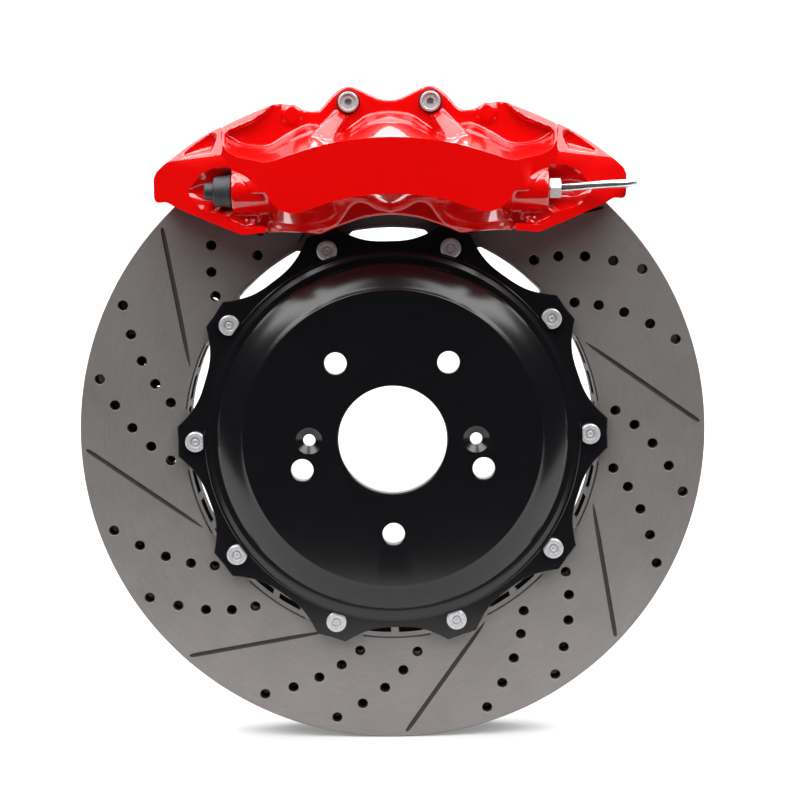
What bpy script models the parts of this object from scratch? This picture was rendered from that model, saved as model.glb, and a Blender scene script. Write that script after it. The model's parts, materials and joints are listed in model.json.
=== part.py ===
"""Six-piston fixed caliper on a two-piece ventilated disc.

The origin is on the wheel's axis, at the face where the rotor hat meets the hub. -Y points to the
outside of the vehicle and +Z from the axis to the caliper. Sizes are millimetres times MM.
"""

import math

import bmesh
import bpy
from mathutils import Matrix, Vector

MM = 0.001
GAP = 0.3 * MM  # left between pieces that touch
RUN_OUT = 2 * MM  # how far a cutter passes the face it opens

# Rotor
DISC_RADIUS = 190 * MM
DISC_THICKNESS = 34 * MM
DISC_FRONT = 11 * MM  # y of the friction face on the outer side
BOLT_CIRCLE = 119 * MM
RING_INNER = BOLT_CIRCLE + 7 * MM
RING_SEGMENTS = 80
VENT_SHARE = 0.353  # of the ring's thickness
VANES = 32
VANE_THICKNESS = 5 * MM
HOLE_RADIUS = 2.9 * MM
HOLE_ROWS = 16
HOLE_STEPS = (0.0, 4.7, 9.3, 13.6, 17.5)  # degrees that a row's holes turn on, outside to inside
HOLE_EDGE = 9.2 * MM  # outermost hole to the rim
HOLE_PITCH = 11.15 * MM
ROW_TURNS = (16.4, 31.4)  # degrees from a slot's outer end to the two rows that follow it
SLOTS = 8
SLOT_START = 2.0  # degrees
SLOT_TURN = 24.0
SLOT_WIDTH = 2.8 * MM
SLOT_DEPTH = 1.2 * MM
SLOT_OUTER = 3 * MM  # end of a slot to the rim
SLOT_INNER = 3 * MM  # end of a slot to the ring's inner edge
SLOT_POINT = 0.2  # share of its length in each pointed end
HAT_WALL = 7 * MM
HAT_SHOULDER_RADIUS = BOLT_CIRCLE - 11.5 * MM
HAT_FACE_RADIUS = HAT_SHOULDER_RADIUS - 17.5 * MM
HUB_BORE_RADIUS = 32.5 * MM
STUD_CIRCLE = 57.15 * MM
STUD_HOLE_RADIUS = 6.65 * MM
STUDS = 5
SCREW_CIRCLE = 50 * MM
SCREW_HOLE_RADIUS = 3.65 * MM
SCREW_SINK_RADIUS = 8.5 * MM
SCREW_SINK_DEPTH = 3 * MM
BOLTS = 10
BOLT_PHASE = 72.6  # degrees
FLANGE_THICKNESS = 6.5 * MM
LOBE_HEIGHT = 11.3 * MM  # corners of the hat's lobes, outside the bolt circle
SCALLOP_DEPTH = 1 * MM  # lowest point between the lobes, inside the bolt circle
SCALLOP_POWER = 2.6  # how sharply the edge falls from a lobe's corner
LOBE_CORNER = 4.0  # degrees from a bolt to the corners of its lobe
LOBE_TURNS = (-18, -14, -10, -6.5, -4, 4, 6.5, 10, 14)
SHOULDER_GROOVE = 3.1 * MM  # from the hat's shoulder to the flange's flat
TAB_THICKNESS = 8 * MM
TAB_HALF_WIDTH = 8.5 * MM
TAB_ROOT_SHARE = 1.3  # of that width, where the tab leaves the ring
TAB_TIP_SHARE = 0.5
BOLT_RADIUS = 3 * MM
BOLT_HEAD_RADIUS = 6.1 * MM
BOLT_HEAD_FLAT = 4.5 * MM
BOLT_HEAD_HEIGHT = 3.5 * MM
NUT_ACROSS_FLATS = 10 * MM
NUT_HEIGHT = 5 * MM
BOLT_END = 1.5 * MM  # thread left past the nut

# Length of the caliper, which its outlines, pads, pistons and bolts along it follow
HALF_LENGTH = 136.7 * MM
DRAWN_HALF_LENGTH = 136.7 * MM  # the outlines below are drawn for this half length
STRETCH = HALF_LENGTH / DRAWN_HALF_LENGTH

# Pads and pistons, stacked outwards from the disc
PAD_CLEARANCE = 1.2 * MM
LINING_THICKNESS = 9.5 * MM
PLATE_THICKNESS = 6 * MM
PISTON_STAND = 2.5 * MM  # how far the pistons stand out of their bores
PISTON_RADIUS = 17.2 * MM
END_PISTON_RADIUS = 15.7 * MM
PISTON_FIT = 0.3 * MM
PISTON_LENGTH = 24 * MM
PISTON_WALL = 4 * MM
PISTON_CUP = 15 * MM
BORE_DEPTH = 23.5 * MM
SEAL_START = 5.5 * MM  # pad side of the seal groove, from the bore's mouth
SEAL_WIDTH = 3.5 * MM
SEAL_DEPTH = 3 * MM
PISTON_PITCH = 56 * MM * STRETCH
PISTON_DROP = 29 * MM  # piston centres inside the disc's rim
PAD_HALF_LENGTH = 76.5 * MM * STRETCH
DRAWN_PAD_HALF_LENGTH = 76.5 * MM
PAD_SIDE_CLEARANCE = 0.6 * MM
PAD_TOP = 3 * MM  # the pads' top edge, inside the rim
PAD_EAR_RADIUS = 6.2 * MM
PIN_CLEARANCE = 0.5 * MM
LINING_INSET = 3 * MM
LINING_GROOVE = 7 * MM
LINING_GROOVE_HALF = 1 * MM
PAD_EAR_SPREAD = (2 * MM, 1 * MM)  # how much wider than its eye an ear starts, at each side

# Caliper body, with depths measured outwards from the disc's middle plane
RIM_CLEARANCE = 3.5 * MM
FACE_CLEARANCE = 2.5 * MM
BRIDGE_WALL = 8.5 * MM  # plate between the pad window and the front lobes
BORE_COVER = 14 * MM  # metal beyond the bores
PANEL_HALF_LENGTH = 70 * MM * STRETCH  # where the front face starts to slope back to the ends
END_DEPTH = 38 * MM
CORNER_POCKET_SINK = 4 * MM
WELL_ABOVE = 60 * MM  # higher over the rim than any metal
BEVEL_BLOCK = 80 * MM
BEVEL_START = 0.42  # of the block, beyond the plane's first point
BODY_BOLT_RADIUS = 5 * MM
BODY_BOLT_HEAD_RADIUS = 8 * MM
BODY_BOLT_HEAD_HEIGHT = 9 * MM
BODY_BOLT_SEAT = 30 * MM
BODY_BOLT_BLIND = 1 * MM  # room left past its end
BODY_BOLT_SOCKET = (4.6 * MM, 5 * MM)  # radius and depth
BODY_BOLT_X = (90 * MM * STRETCH, 124 * MM * STRETCH)
OVER_RIM = 9.2 * MM  # centres of the bolts and pins that cross the disc, from its rim
BRIDGE_CLEARANCE = 2 * MM
BRIDGE_EYE_RADIUS = 7.6 * MM
BRIDGE_WAIST = 16 * MM  # half width over the disc
BRIDGE_FOOT = 6 * MM  # from a screw to the corner of the foot below it
BRIDGE_RISE = 9 * MM  # top of the tie at its middle, over the rim
WAIST_REACH = 30 * MM
WAIST_FLARE = 1.6
BRIDGE_SCREW_X = 23.5 * MM * STRETCH
BRIDGE_SCREW_RADIUS = 4 * MM
BRIDGE_SCREW_HEAD_RADIUS = 6 * MM
BRIDGE_SCREW_HEAD_HEIGHT = 6 * MM
BRIDGE_SCREW_LENGTH = 22 * MM
BRIDGE_SCREW_SOCKET = (3.4 * MM, 3.6 * MM)
HEAD_SINK = 3 * MM
HEAD_CLEARANCE = 0.8 * MM
PAD_PIN_X = 56 * MM * STRETCH
PAD_PIN_RADIUS = 2.8 * MM
PAD_PIN_HEAD_RADIUS = 4.5 * MM
PAD_PIN_HEAD_HEIGHT = 2 * MM
PAD_PIN_BLIND = 5 * MM
PORT_X = 89.5 * MM * STRETCH  # mouth of the bleed and pipe bosses
PORT_DROP = 16 * MM  # their height, from the panel's front plane
PORT_RIM_DROP = 17.4 * MM  # their centre, inside the disc's rim
PORT_BOSS_RADIUS = 11 * MM
PORT_BOSS_LENGTH = 32 * MM
PORT_HOLE_RADIUS = 4.3 * MM
PORT_HOLE_DEPTH = 13.5 * MM
SCOOP_LENGTH = 26 * MM
SCOOP_HEIGHT = 12.5 * MM
EAR_X = 76 * MM * STRETCH
EAR_DROP = 48 * MM
EAR_RADIUS = 12 * MM
EAR_HOLE_RADIUS = 5.2 * MM
EAR_START = 40 * MM
EAR_THICKNESS = 20 * MM
EAR_ROOT = 0.9  # of its radius, from its hole up to where it meets the body
HOSE_X = 28 * MM * STRETCH
HOSE_DROP = 27.6 * MM
HOSE_BOSS_RADIUS = 9 * MM
HOSE_BOSS_HEIGHT = 2.5 * MM
HOSE_HOLE_RADIUS = 4.5 * MM
HOSE_HOLE_DEPTH = 14 * MM

# Pipework and bleeders
PIPE_RADIUS = 2.4 * MM
PIPE_FIT = 0.3 * MM
PIPE_END_CLEARANCE = 1.1 * MM
PIPE_BEND = 9 * MM
PIPE_RISE = 2.2 * MM
PIPE_INSERT = 10 * MM
NUT_BODY_RADIUS = 4 * MM
TUBE_NUT_HEX = 11 * MM
TUBE_NUT_LENGTH = 7.5 * MM
BLEED_HEX = 10 * MM
BLEED_HEX_LENGTH = 6 * MM
BLEED_NIPPLE_RADIUS = 3.2 * MM
BLEED_NIPPLE_LENGTH = 8 * MM
CAP_MOUTH_RADIUS = 9.8 * MM
CAP_SHOULDER_RADIUS = 8.1 * MM
CAP_TIP_RADIUS = 5.1 * MM
CAP_SKIRT_LENGTH = 10.4 * MM
CAP_TIP_LENGTH = 5.6 * MM
CAP_WALL = 1.6 * MM

# Planes of the caliper that follow from the stack above
MIDDLE = DISC_FRONT + DISC_THICKNESS / 2
PLATE_BACK = DISC_THICKNESS / 2 + PAD_CLEARANCE + LINING_THICKNESS + PLATE_THICKNESS
WINDOW = PLATE_BACK + GAP + PISTON_STAND
LOBE = WINDOW + BRIDGE_WALL
PANEL = WINDOW + BORE_DEPTH + BORE_COVER
FLANGE_BACK = DISC_FRONT - GAP
FLANGE_FRONT = FLANGE_BACK - FLANGE_THICKNESS

# Three points of the plane that bevels the shoulders: x and distance from the rim in millimetres, depth
BEVEL_PLANE = (
    (97, 4, PANEL - 14.5 * MM),
    (122.5, 16.1, PANEL - 28 * MM),
    (97, 19.8, LOBE + 2 * MM),
)

# Outlines of the caliper for x >= 0: x, and the distance from the disc's rim, in millimetres
BODY_EDGE = (
    (0, 9), (6.2, 10.3), (17.6, 16.2), (23.5, 18.4), (29.2, 17.1), (34.7, 12.9), (40, 8), (44.6, 8),
    (49.2, 10.3), (54.7, 14), (64, 17.8), (78, 20), (92, 19.8), (106.5, 19.4), (121, 19.6),
    (135.5, 19.4), (136.7, 18.2), (136.7, 8.6), (135.2, 6.1), (129.7, 2.2), (123, -4.8),
    (103.3, -23.7), (84, -41.1), (41, -60.8), (28, -59.2), (15.7, -57.1), (0, -56.3),
)
UPPER_FLOOR = (
    (0, 2.3), (11.4, 0.8), (18.7, -3.3), (28, -8.3), (36, -4.5), (44, 0.6), (51, 0.5), (58, -0.9),
    (68, -3.2), (85, 4.6), (91, 9.9), (94, 16.2), (72, 16.9), (62, 24), (0, 34),
)
UPPER_FRONT = (
    (0, -13.3), (9, -13.4), (17, -13.5), (26, -13.5), (35, -13.5), (43, -13.6), (50, -13.8), (57, -13.8),
    (68, -13.1), (85, -4.7), (94, 0.8), (96, 17), (72, 17.5), (62, 24), (0, 34),
)
LOWER_FLOOR = (
    (0, -54.2), (7.5, -52.5), (13, -48.6), (18, -47), (22.8, -48.6), (28.2, -55.3), (34, -58.5),
    (48, -56.6), (58, -53.1), (66, -49.1), (66, -72), (0, -72),
)
LOWER_FRONT = (
    (0, -44.9), (7, -44.9), (14, -45), (22.3, -45), (30, -45.2), (38, -45.5), (45, -45.9),
    (52, -45.6), (59, -43.8), (66, -38.5), (66, -72), (0, -72),
)
CORNER_POCKET = ((103, 15.6), (101.5, 11.4), (119, 16.4), (112, 17.1))
BOSS_POCKET = ((67, -56), (68.5, -34.4), (88, -26.3), (98, -27.2), (84, -45.5))
GUSSET_TIP = (26.9, 3.3)
GUSSET_FEET = ((43.8, -4.7), (32.1, -10.4))
GUSSET_TOP = 3 * MM  # half width of its upper end
GUSSET_HEIGHT = 20 * MM  # its feet, in front of the lobes
PAD_LOWER_EDGE = ((0, -54), (30, -56.6), (45, -56.2), (74, -43.9), (76.5, -40))
PAD_UPPER_EDGE = ((76.5, -7.2), (64, -6))
PAD_TOP_STATIONS = (48, 24, 0)  # x of the points along the pad's top


def surface(name, colour, roughness, metallic):
    material = bpy.data.materials.new(name)
    material.use_nodes = True
    shader = material.node_tree.nodes["Principled BSDF"]
    shader.inputs["Base Color"].default_value = (*colour, 1)
    shader.inputs["Roughness"].default_value = roughness
    shader.inputs["Metallic"].default_value = metallic
    return material


def skin(name, loops, material=None, joined=False, origin=(0, 0, 0)):
    """An object skinned from loop to loop. Its ends are capped, or meet each other when joined."""
    mesh = bmesh.new()
    rows = [[mesh.verts.new(Vector(point) - Vector(origin)) for point in loop] for loop in loops]
    pairs = list(zip(rows, rows[1:]))
    if joined:
        pairs.append((rows[-1], rows[0]))
    else:
        mesh.faces.new(rows[0])
        mesh.faces.new(rows[-1])
    for near, far in pairs:
        for i, corner in enumerate(near):
            j = (i + 1) % len(near)
            mesh.faces.new((corner, near[j], far[j], far[i]))
    bmesh.ops.recalc_face_normals(mesh, faces=mesh.faces)
    data = bpy.data.meshes.new(name)
    mesh.to_mesh(data)
    mesh.free()
    data.shade_smooth()
    data.set_sharp_from_angle(angle=math.radians(35))
    made = bpy.data.objects.new(name, data)
    made.location = origin
    bpy.context.scene.collection.objects.link(made)
    if material:
        data.materials.append(material)
    return made


def combine(target, other, operation):
    modifier = target.modifiers.new(other.name, "BOOLEAN")
    modifier.operation = operation
    modifier.object = other
    modifier.solver = "EXACT"
    other.hide_render = True
    other.display_type = "WIRE"


def cut(target, cutter):
    combine(target, cutter, "DIFFERENCE")


def add(target, addition):
    combine(target, addition, "UNION")


def pooled(name, pieces):
    """One cutter made of several separate closed shapes."""
    mesh = bmesh.new()
    for piece in pieces:
        mesh.from_mesh(piece.data)
        bpy.data.objects.remove(piece)
    data = bpy.data.meshes.new(name)
    mesh.to_mesh(data)
    mesh.free()
    made = bpy.data.objects.new(name, data)
    bpy.context.scene.collection.objects.link(made)
    return made


def polar(radius, degrees, y=0.0):
    turn = math.radians(degrees)
    return Vector((radius * math.cos(turn), y, radius * math.sin(turn)))


def ring_points(centre, radius, segments, across, up, phase=0.5):
    """Points round a circle in the plane of the unit vectors across and up."""
    turns = (math.tau * (i + phase) / segments for i in range(segments))
    return [centre + radius * (math.cos(turn) * across + math.sin(turn) * up) for turn in turns]


def turned(name, centre, along, profile, segments, material=None, joined=False, origin=(0, 0, 0)):
    """A body of revolution about the line from centre along a direction. Profile: distance, radius."""
    along = Vector(along)
    across = Vector((0, 0, 1))
    up = along.cross(across)
    loops = [
        ring_points(Vector(centre) + along * distance, radius, segments, across, up)
        for distance, radius in profile
    ]
    return skin(name, loops, material, joined, origin)


def hexagon_radius(across_flats):
    return across_flats / 2 / math.cos(math.pi / 6)


def rim_point(x, offset):
    """(x, z) of a point that lies an offset outside the disc's rim, both in metres."""
    return x, math.sqrt((DISC_RADIUS + offset) ** 2 - x**2)


def drawn_point(x, offset):
    """The same for a point of an outline, in millimetres, stretched to the caliper's length."""
    return rim_point(x * MM * STRETCH, offset * MM)


def both_sides(half):
    """A whole outline from its x >= 0 half, which starts and ends at x = 0."""
    points = [drawn_point(x, offset) for x, offset in half]
    return points + [(-x, z) for x, z in reversed(points) if x > 0]


def one_side(points, hand):
    return [(hand * x, z) for x, z in (drawn_point(x, offset) for x, offset in points)]


def level(outline, side, depth):
    """An (x, z) outline laid at a depth from the disc's middle plane."""
    return [place(side, x, depth, z) for x, z in outline]


def place(side, x, depth, z):
    """side is 1 for the outer half of the caliper and -1 for the inner half."""
    return Vector((x, MIDDLE - side * depth, z))


def outwards(side):
    return Vector((0, -side, 0))


def at_rim(side, x, offset, depth):
    x, z = rim_point(x, offset)
    return place(side, x, depth, z)


# Rotor


def make_ring(material):
    back = DISC_FRONT + DISC_THICKNESS
    profile = (
        (DISC_FRONT, RING_INNER),
        (DISC_FRONT, DISC_RADIUS),
        (back, DISC_RADIUS),
        (back, RING_INNER),
    )
    ring = turned("rotor_ring", (0, 0, 0), (0, 1, 0), profile, RING_SEGMENTS, material, joined=True)
    for i in range(BOLTS):
        add(ring, ring_tab(i))
    cut(ring, vent_cutter())
    cut(ring, drilling_cutter())
    cut(ring, slot_cutter())
    cut(ring, bolt_hole_cutter())
    return ring


def ring_tab(i):
    turn = BOLT_PHASE + i * 360 / BOLTS
    root = RING_INNER + RUN_OUT
    tip = BOLT_CIRCLE - TAB_HALF_WIDTH
    half = ((root, TAB_ROOT_SHARE), (BOLT_CIRCLE, 1), (tip, TAB_TIP_SHARE))
    shape = half + tuple((r, -share) for r, share in reversed(half))
    rotation = Matrix.Rotation(-math.radians(turn), 3, "Y")
    loops = []
    for y in (DISC_FRONT + GAP / 2, DISC_FRONT + TAB_THICKNESS):
        loops.append([rotation @ Vector((r, y, side * TAB_HALF_WIDTH)) for r, side in shape])
    return skin(f"tab_{i}", loops)


def vent_cutter():
    width = VENT_SHARE * DISC_THICKNESS
    near = DISC_FRONT + (DISC_THICKNESS - width) / 2
    channels = []
    for i in range(VANES):
        middle = (i + 0.5) * 360 / VANES
        outline = []
        for radius, hand in ((RING_INNER, 1), (DISC_RADIUS, 1), (DISC_RADIUS, -1), (RING_INNER, -1)):
            reach = radius + (RUN_OUT if radius == DISC_RADIUS else -RUN_OUT)
            half_turn = 180 / VANES - math.degrees(VANE_THICKNESS / 2 / reach)
            outline.append((reach, middle + hand * half_turn))
        loops = [[polar(r, turn, y) for r, turn in outline] for y in (near, near + width)]
        channels.append(skin(f"channel_{i}", loops))
    return pooled("vent_cutter", channels)


def drilling_cutter():
    profile = (
        (DISC_FRONT - RUN_OUT, HOLE_RADIUS),
        (DISC_FRONT + DISC_THICKNESS + RUN_OUT, HOLE_RADIUS),
    )
    drills = []
    for row in range(HOLE_ROWS):
        start = SLOT_START + ROW_TURNS[row % 2] + (row // 2) * 360 / SLOTS
        for step, turn in enumerate(HOLE_STEPS):
            centre = polar(DISC_RADIUS - HOLE_EDGE - step * HOLE_PITCH, start + turn)
            drills.append(turned(f"drill_{row}_{step}", centre, (0, 1, 0), profile, 6))
    return pooled("drilling_cutter", drills)


def slot_cutter():
    """Straight grooves in both friction faces, pointed at their ends."""
    grooves = []
    for i in range(SLOTS):
        outer = polar(DISC_RADIUS - SLOT_OUTER, SLOT_START + i * 360 / SLOTS)
        inner = polar(RING_INNER + SLOT_INNER, SLOT_START + SLOT_TURN + i * 360 / SLOTS)
        along = inner - outer
        across = along.cross(Vector((0, 1, 0))).normalized() * SLOT_WIDTH / 2
        near, far = outer + along * SLOT_POINT, inner - along * SLOT_POINT
        shape = [outer, near + across, far + across, inner, far - across, near - across]
        for face, depth in ((DISC_FRONT, SLOT_DEPTH), (DISC_FRONT + DISC_THICKNESS, -SLOT_DEPTH)):
            loops = [[point + Vector((0, y, 0)) for point in shape] for y in (face - depth, face + depth)]
            grooves.append(skin(f"groove_{i}_{face:.3f}", loops))
    return pooled("slot_cutter", grooves)


def bolt_centres():
    return [polar(BOLT_CIRCLE, BOLT_PHASE + i * 360 / BOLTS) for i in range(BOLTS)]


def bolt_hole_cutter():
    radius = BOLT_RADIUS + GAP
    profile = ((FLANGE_FRONT - RUN_OUT, radius), (DISC_FRONT + TAB_THICKNESS + RUN_OUT, radius))
    drills = [
        turned(f"bolt_drill_{i}", centre, (0, 1, 0), profile, 12)
        for i, centre in enumerate(bolt_centres())
    ]
    return pooled("bolt_hole_cutter", drills)


def lobe_radius(turn):
    """Radius of the hat's edge: straight-edged lobes at the bolts, scalloped between them."""
    corner = BOLT_CIRCLE + LOBE_HEIGHT
    scallop = BOLT_CIRCLE - SCALLOP_DEPTH
    away = (abs(turn) - LOBE_CORNER) / (180 / BOLTS - LOBE_CORNER)
    return scallop + (corner - scallop) * (1 - away) ** SCALLOP_POWER


def make_hat(material):
    turns = [(BOLT_PHASE + i * 360 / BOLTS + turn, turn) for i in range(BOLTS) for turn in LOBE_TURNS]
    round_part = (
        (HUB_BORE_RADIUS, 0),
        (HUB_BORE_RADIUS, -HAT_WALL),
        (HAT_FACE_RADIUS, -HAT_WALL),
        (HAT_SHOULDER_RADIUS, FLANGE_FRONT - MM),
        (HAT_SHOULDER_RADIUS + SHOULDER_GROOVE, FLANGE_FRONT),
    )
    inner_part = (
        (HAT_SHOULDER_RADIUS - HAT_WALL / 2, FLANGE_BACK),
        (HAT_FACE_RADIUS - HAT_WALL, 0),
    )
    loops = [[polar(r, at, y) for at, _ in turns] for r, y in round_part]
    loops += [[polar(lobe_radius(turn), at, y) for at, turn in turns] for y in (FLANGE_FRONT, FLANGE_BACK)]
    loops += [[polar(r, at, y) for at, _ in turns] for r, y in inner_part]
    hat = skin("rotor_hat", loops, material, joined=True)
    cut(hat, bpy.data.objects["bolt_hole_cutter"])
    cut(hat, wheel_hole_cutter())
    return hat


def wheel_hole_cutter():
    """Stud holes, with one straight down, and two countersunk screw holes level with the axis."""
    through = (-HAT_WALL - RUN_OUT, RUN_OUT)
    drills = []
    for i in range(STUDS):
        profile = [(y, STUD_HOLE_RADIUS) for y in through]
        centre = polar(STUD_CIRCLE, 270 + i * 360 / STUDS)
        drills.append(turned(f"stud_drill_{i}", centre, (0, 1, 0), profile, 16))
    for turn in (0, 180):
        steep = (SCREW_SINK_RADIUS - SCREW_HOLE_RADIUS) / SCREW_SINK_DEPTH
        profile = (
            (through[0], SCREW_SINK_RADIUS + RUN_OUT * steep),
            (-HAT_WALL + SCREW_SINK_DEPTH, SCREW_HOLE_RADIUS),
            (through[1], SCREW_HOLE_RADIUS),
        )
        drills.append(turned(f"screw_drill_{turn}", polar(SCREW_CIRCLE, turn), (0, 1, 0), profile, 16))
    return pooled("wheel_hole_cutter", drills)


def make_hat_fasteners(material):
    """D-shaped bolt heads with their flats to the axis, and hex nuts behind the ring's tabs."""
    seat = FLANGE_FRONT - GAP
    nut_start = DISC_FRONT + TAB_THICKNESS + GAP
    nut_end = nut_start + NUT_HEIGHT
    arc = math.degrees(math.acos(BOLT_HEAD_FLAT / BOLT_HEAD_RADIUS))
    head = [180 - arc - (360 - 2 * arc) * i / 10 for i in range(11)]
    for i in range(BOLTS):
        turn = BOLT_PHASE + i * 360 / BOLTS
        centre = polar(BOLT_CIRCLE, turn)
        loops = []
        for y in (seat - BOLT_HEAD_HEIGHT, seat):
            loops.append([centre + polar(BOLT_HEAD_RADIUS, turn + step, y) for step in head])
        bolt = skin(f"hat_bolt_{i + 1:02d}", loops, material)
        shank = ((seat - BOLT_HEAD_HEIGHT / 2, BOLT_RADIUS), (nut_end + BOLT_END, BOLT_RADIUS))
        add(bolt, turned(f"hat_shank_{i}", centre, (0, 1, 0), shank, 10))
        outside = hexagon_radius(NUT_ACROSS_FLATS)
        hexagon = ((nut_start, outside), (nut_end, outside))
        nut = turned(f"hat_nut_{i + 1:02d}", centre, (0, 1, 0), hexagon, 6, material)
        radius = BOLT_RADIUS + GAP
        hole = ((nut_start - RUN_OUT, radius), (nut_end + RUN_OUT, radius))
        cut(nut, turned(f"nut_drill_{i}", centre, (0, 1, 0), hole, 10))


# Caliper halves


def make_half(name, side, material):
    """One half of the body: a full-depth blank, carved from its face and then from inside."""
    edge = both_sides(BODY_EDGE)
    half = skin(name, [level(edge, side, GAP / 2), level(edge, side, PANEL)], material)
    carve_front(half, side)
    add_front_details(half, side)
    carve_inside(half, side)
    return half


def carve_front(half, side):
    label = half.name
    past = PANEL + RUN_OUT
    for hand in (1, -1):
        cut(half, end_taper(f"{label}_taper_{hand}", side, hand))
        cut(half, shoulder_bevel(f"{label}_bevel_{hand}", side, hand))
        corner = one_side(CORNER_POCKET, hand)
        loops = [level(corner, side, LOBE - CORNER_POCKET_SINK), level(corner, side, past)]
        cut(half, skin(f"{label}_corner_{hand}", loops))
        boss = one_side(BOSS_POCKET, hand)
        loops = [level(boss, side, LOBE), level(boss, side, past)]
        cut(half, skin(f"{label}_boss_pocket_{hand}", loops))
    for part, floor, front in (("upper", UPPER_FLOOR, UPPER_FRONT), ("lower", LOWER_FLOOR, LOWER_FRONT)):
        loops = drafted(both_sides(floor), both_sides(front), side)
        cut(half, skin(f"{label}_{part}", loops))


def drafted(floor, front, side):
    """A cutter's loops whose walls run from the floor outline to the front one, and on past it."""
    reach = (PANEL + RUN_OUT - LOBE) / (PANEL - LOBE)
    past = [
        (x0 + (x1 - x0) * reach, z0 + (z1 - z0) * reach)
        for (x0, z0), (x1, z1) in zip(floor, front)
    ]
    return [level(floor, side, LOBE), level(past, side, PANEL + RUN_OUT)]


def end_taper(name, side, hand):
    """Thins the ends: the front face slopes back from the outer pistons to the ends."""
    start, end = PANEL_HALF_LENGTH, HALF_LENGTH + RUN_OUT
    slope = (PANEL - END_DEPTH) / (HALF_LENGTH - start)
    high = PANEL + slope * RUN_OUT
    low = PANEL - slope * (end - start)
    shape = ((start - RUN_OUT, high), (end, high), (end, low))
    heights = (0, DISC_RADIUS + WELL_ABOVE)
    loops = [[place(side, hand * x, depth, z) for x, depth in shape] for z in heights]
    return skin(name, loops)


def shoulder_bevel(name, side, hand):
    """Cuts the upper shoulder back along one plane, from the front face to the top edge."""
    front, tip, top = [
        at_rim(side, x * MM * STRETCH, offset * MM, depth) for x, offset, depth in BEVEL_PLANE
    ]
    normal = (tip - front).cross(top - front).normalized()
    if normal.z < 0:
        normal.negate()
    along = (tip - front).normalized()
    across = normal.cross(along)
    corners = ((-BEVEL_START, -1), (1, -1), (1, 1), (-BEVEL_START, 1))
    base = [front + BEVEL_BLOCK * (a * along + b * across) for a, b in corners]
    loops = [base, [point + normal * BEVEL_BLOCK for point in base]]
    if hand < 0:
        loops = [[Vector((-p.x, p.y, p.z)) for p in loop] for loop in loops]
    return skin(name, loops)


def add_front_details(half, side):
    label = half.name
    for hand in (1, -1):
        centre = at_rim(side, PORT_X, -PORT_RIM_DROP, PANEL - PORT_DROP)
        centre.x = hand * PORT_X
        profile = ((0, PORT_BOSS_RADIUS), (PORT_BOSS_LENGTH, PORT_BOSS_RADIUS))
        add(half, turned(f"{label}_boss_{hand}", centre, (-hand, 0, 0), profile, 20))
        cut(half, port_scoop(f"{label}_scoop_{hand}", side, hand, centre.z))
        add(half, gusset(f"{label}_gusset_{hand}", side, hand))
        if side < 0:
            add(half, ear(f"{label}_ear_{hand}", side, hand))
    if side < 0:
        centre = at_rim(side, HOSE_X, -HOSE_DROP, PANEL - RUN_OUT)
        profile = ((0, HOSE_BOSS_RADIUS), (RUN_OUT + HOSE_BOSS_HEIGHT, HOSE_BOSS_RADIUS))
        add(half, turned(f"{label}_hose_boss", centre, outwards(side), profile, 20))


def port_scoop(name, side, hand, z):
    """A half-round hollow that gives a spanner room round the fitting."""
    turns = [math.radians(-90 + 18 * i) for i in range(11)]
    shape = [
        (hand * (PORT_X + SCOOP_LENGTH * math.cos(turn)), z + SCOOP_HEIGHT * math.sin(turn))
        for turn in turns
    ]
    return skin(name, [level(shape, side, LOBE + 2 * MM), level(shape, side, PANEL + RUN_OUT)])


def gusset(name, side, hand):
    """A flat ramp from below a bridge screw down to the top of the piston housing."""
    (tip_x, tip_z), *feet = [drawn_point(x, offset) for x, offset in (GUSSET_TIP, *GUSSET_FEET)]
    front = [(hand * x, LOBE + GUSSET_HEIGHT, z) for x, z in feet]
    tip = [(hand * (tip_x + width), LOBE + MM, tip_z) for width in (GUSSET_TOP, -GUSSET_TOP)]
    back = [(x, LOBE - MM, z) for x, _, z in tip] + [(x, LOBE - MM, z - MM) for x, _, z in reversed(front)]
    face = tip + [front[1], front[0]]
    low = back[:2] + [back[2], back[3]]
    return skin(name, [[place(side, *p) for p in low], [place(side, *p) for p in face]])


def ear(name, side, hand):
    """A threaded mounting ear under the inner half."""
    centre_x, centre_z = rim_point(EAR_X, -EAR_DROP)
    top = centre_z + EAR_RADIUS * EAR_ROOT
    turns = [math.radians(180 + 20 * i) for i in range(10)]
    shape = [(centre_x + EAR_RADIUS * math.cos(t), centre_z + EAR_RADIUS * math.sin(t)) for t in turns]
    shape += [(centre_x + EAR_RADIUS, top), (centre_x - EAR_RADIUS, top)]
    shape = [(hand * x, z) for x, z in shape]
    return skin(name, [level(shape, side, EAR_START), level(shape, side, EAR_START + EAR_THICKNESS)])


def carve_inside(half, side):
    label = half.name
    radius = DISC_RADIUS + RIM_CLEARANCE
    profile = ((-RUN_OUT, radius), (DISC_THICKNESS / 2 + FACE_CLEARANCE, radius))
    cut(half, turned(f"{label}_rotor_room", (0, MIDDLE, 0), outwards(side), profile, 72))
    half_length = PAD_HALF_LENGTH + PAD_SIDE_CLEARANCE
    low, high = 0, DISC_RADIUS + WELL_ABOVE
    window = ((-half_length, low), (half_length, low), (half_length, high), (-half_length, high))
    cut(half, skin(f"{label}_window", [level(window, side, -RUN_OUT), level(window, side, WINDOW)]))
    for i, (x, radius) in enumerate(piston_places()):
        centre = at_rim(side, x, -PISTON_DROP, WINDOW)
        cut(half, bore_cutter(f"{label}_bore_{i}", centre, radius + PISTON_FIT, side))
    cut(half, bolt_cutter(label, side))
    cut(half, port_cutter(label, side))


def piston_places():
    return ((-PISTON_PITCH, END_PISTON_RADIUS), (0.0, PISTON_RADIUS), (PISTON_PITCH, END_PISTON_RADIUS))


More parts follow.
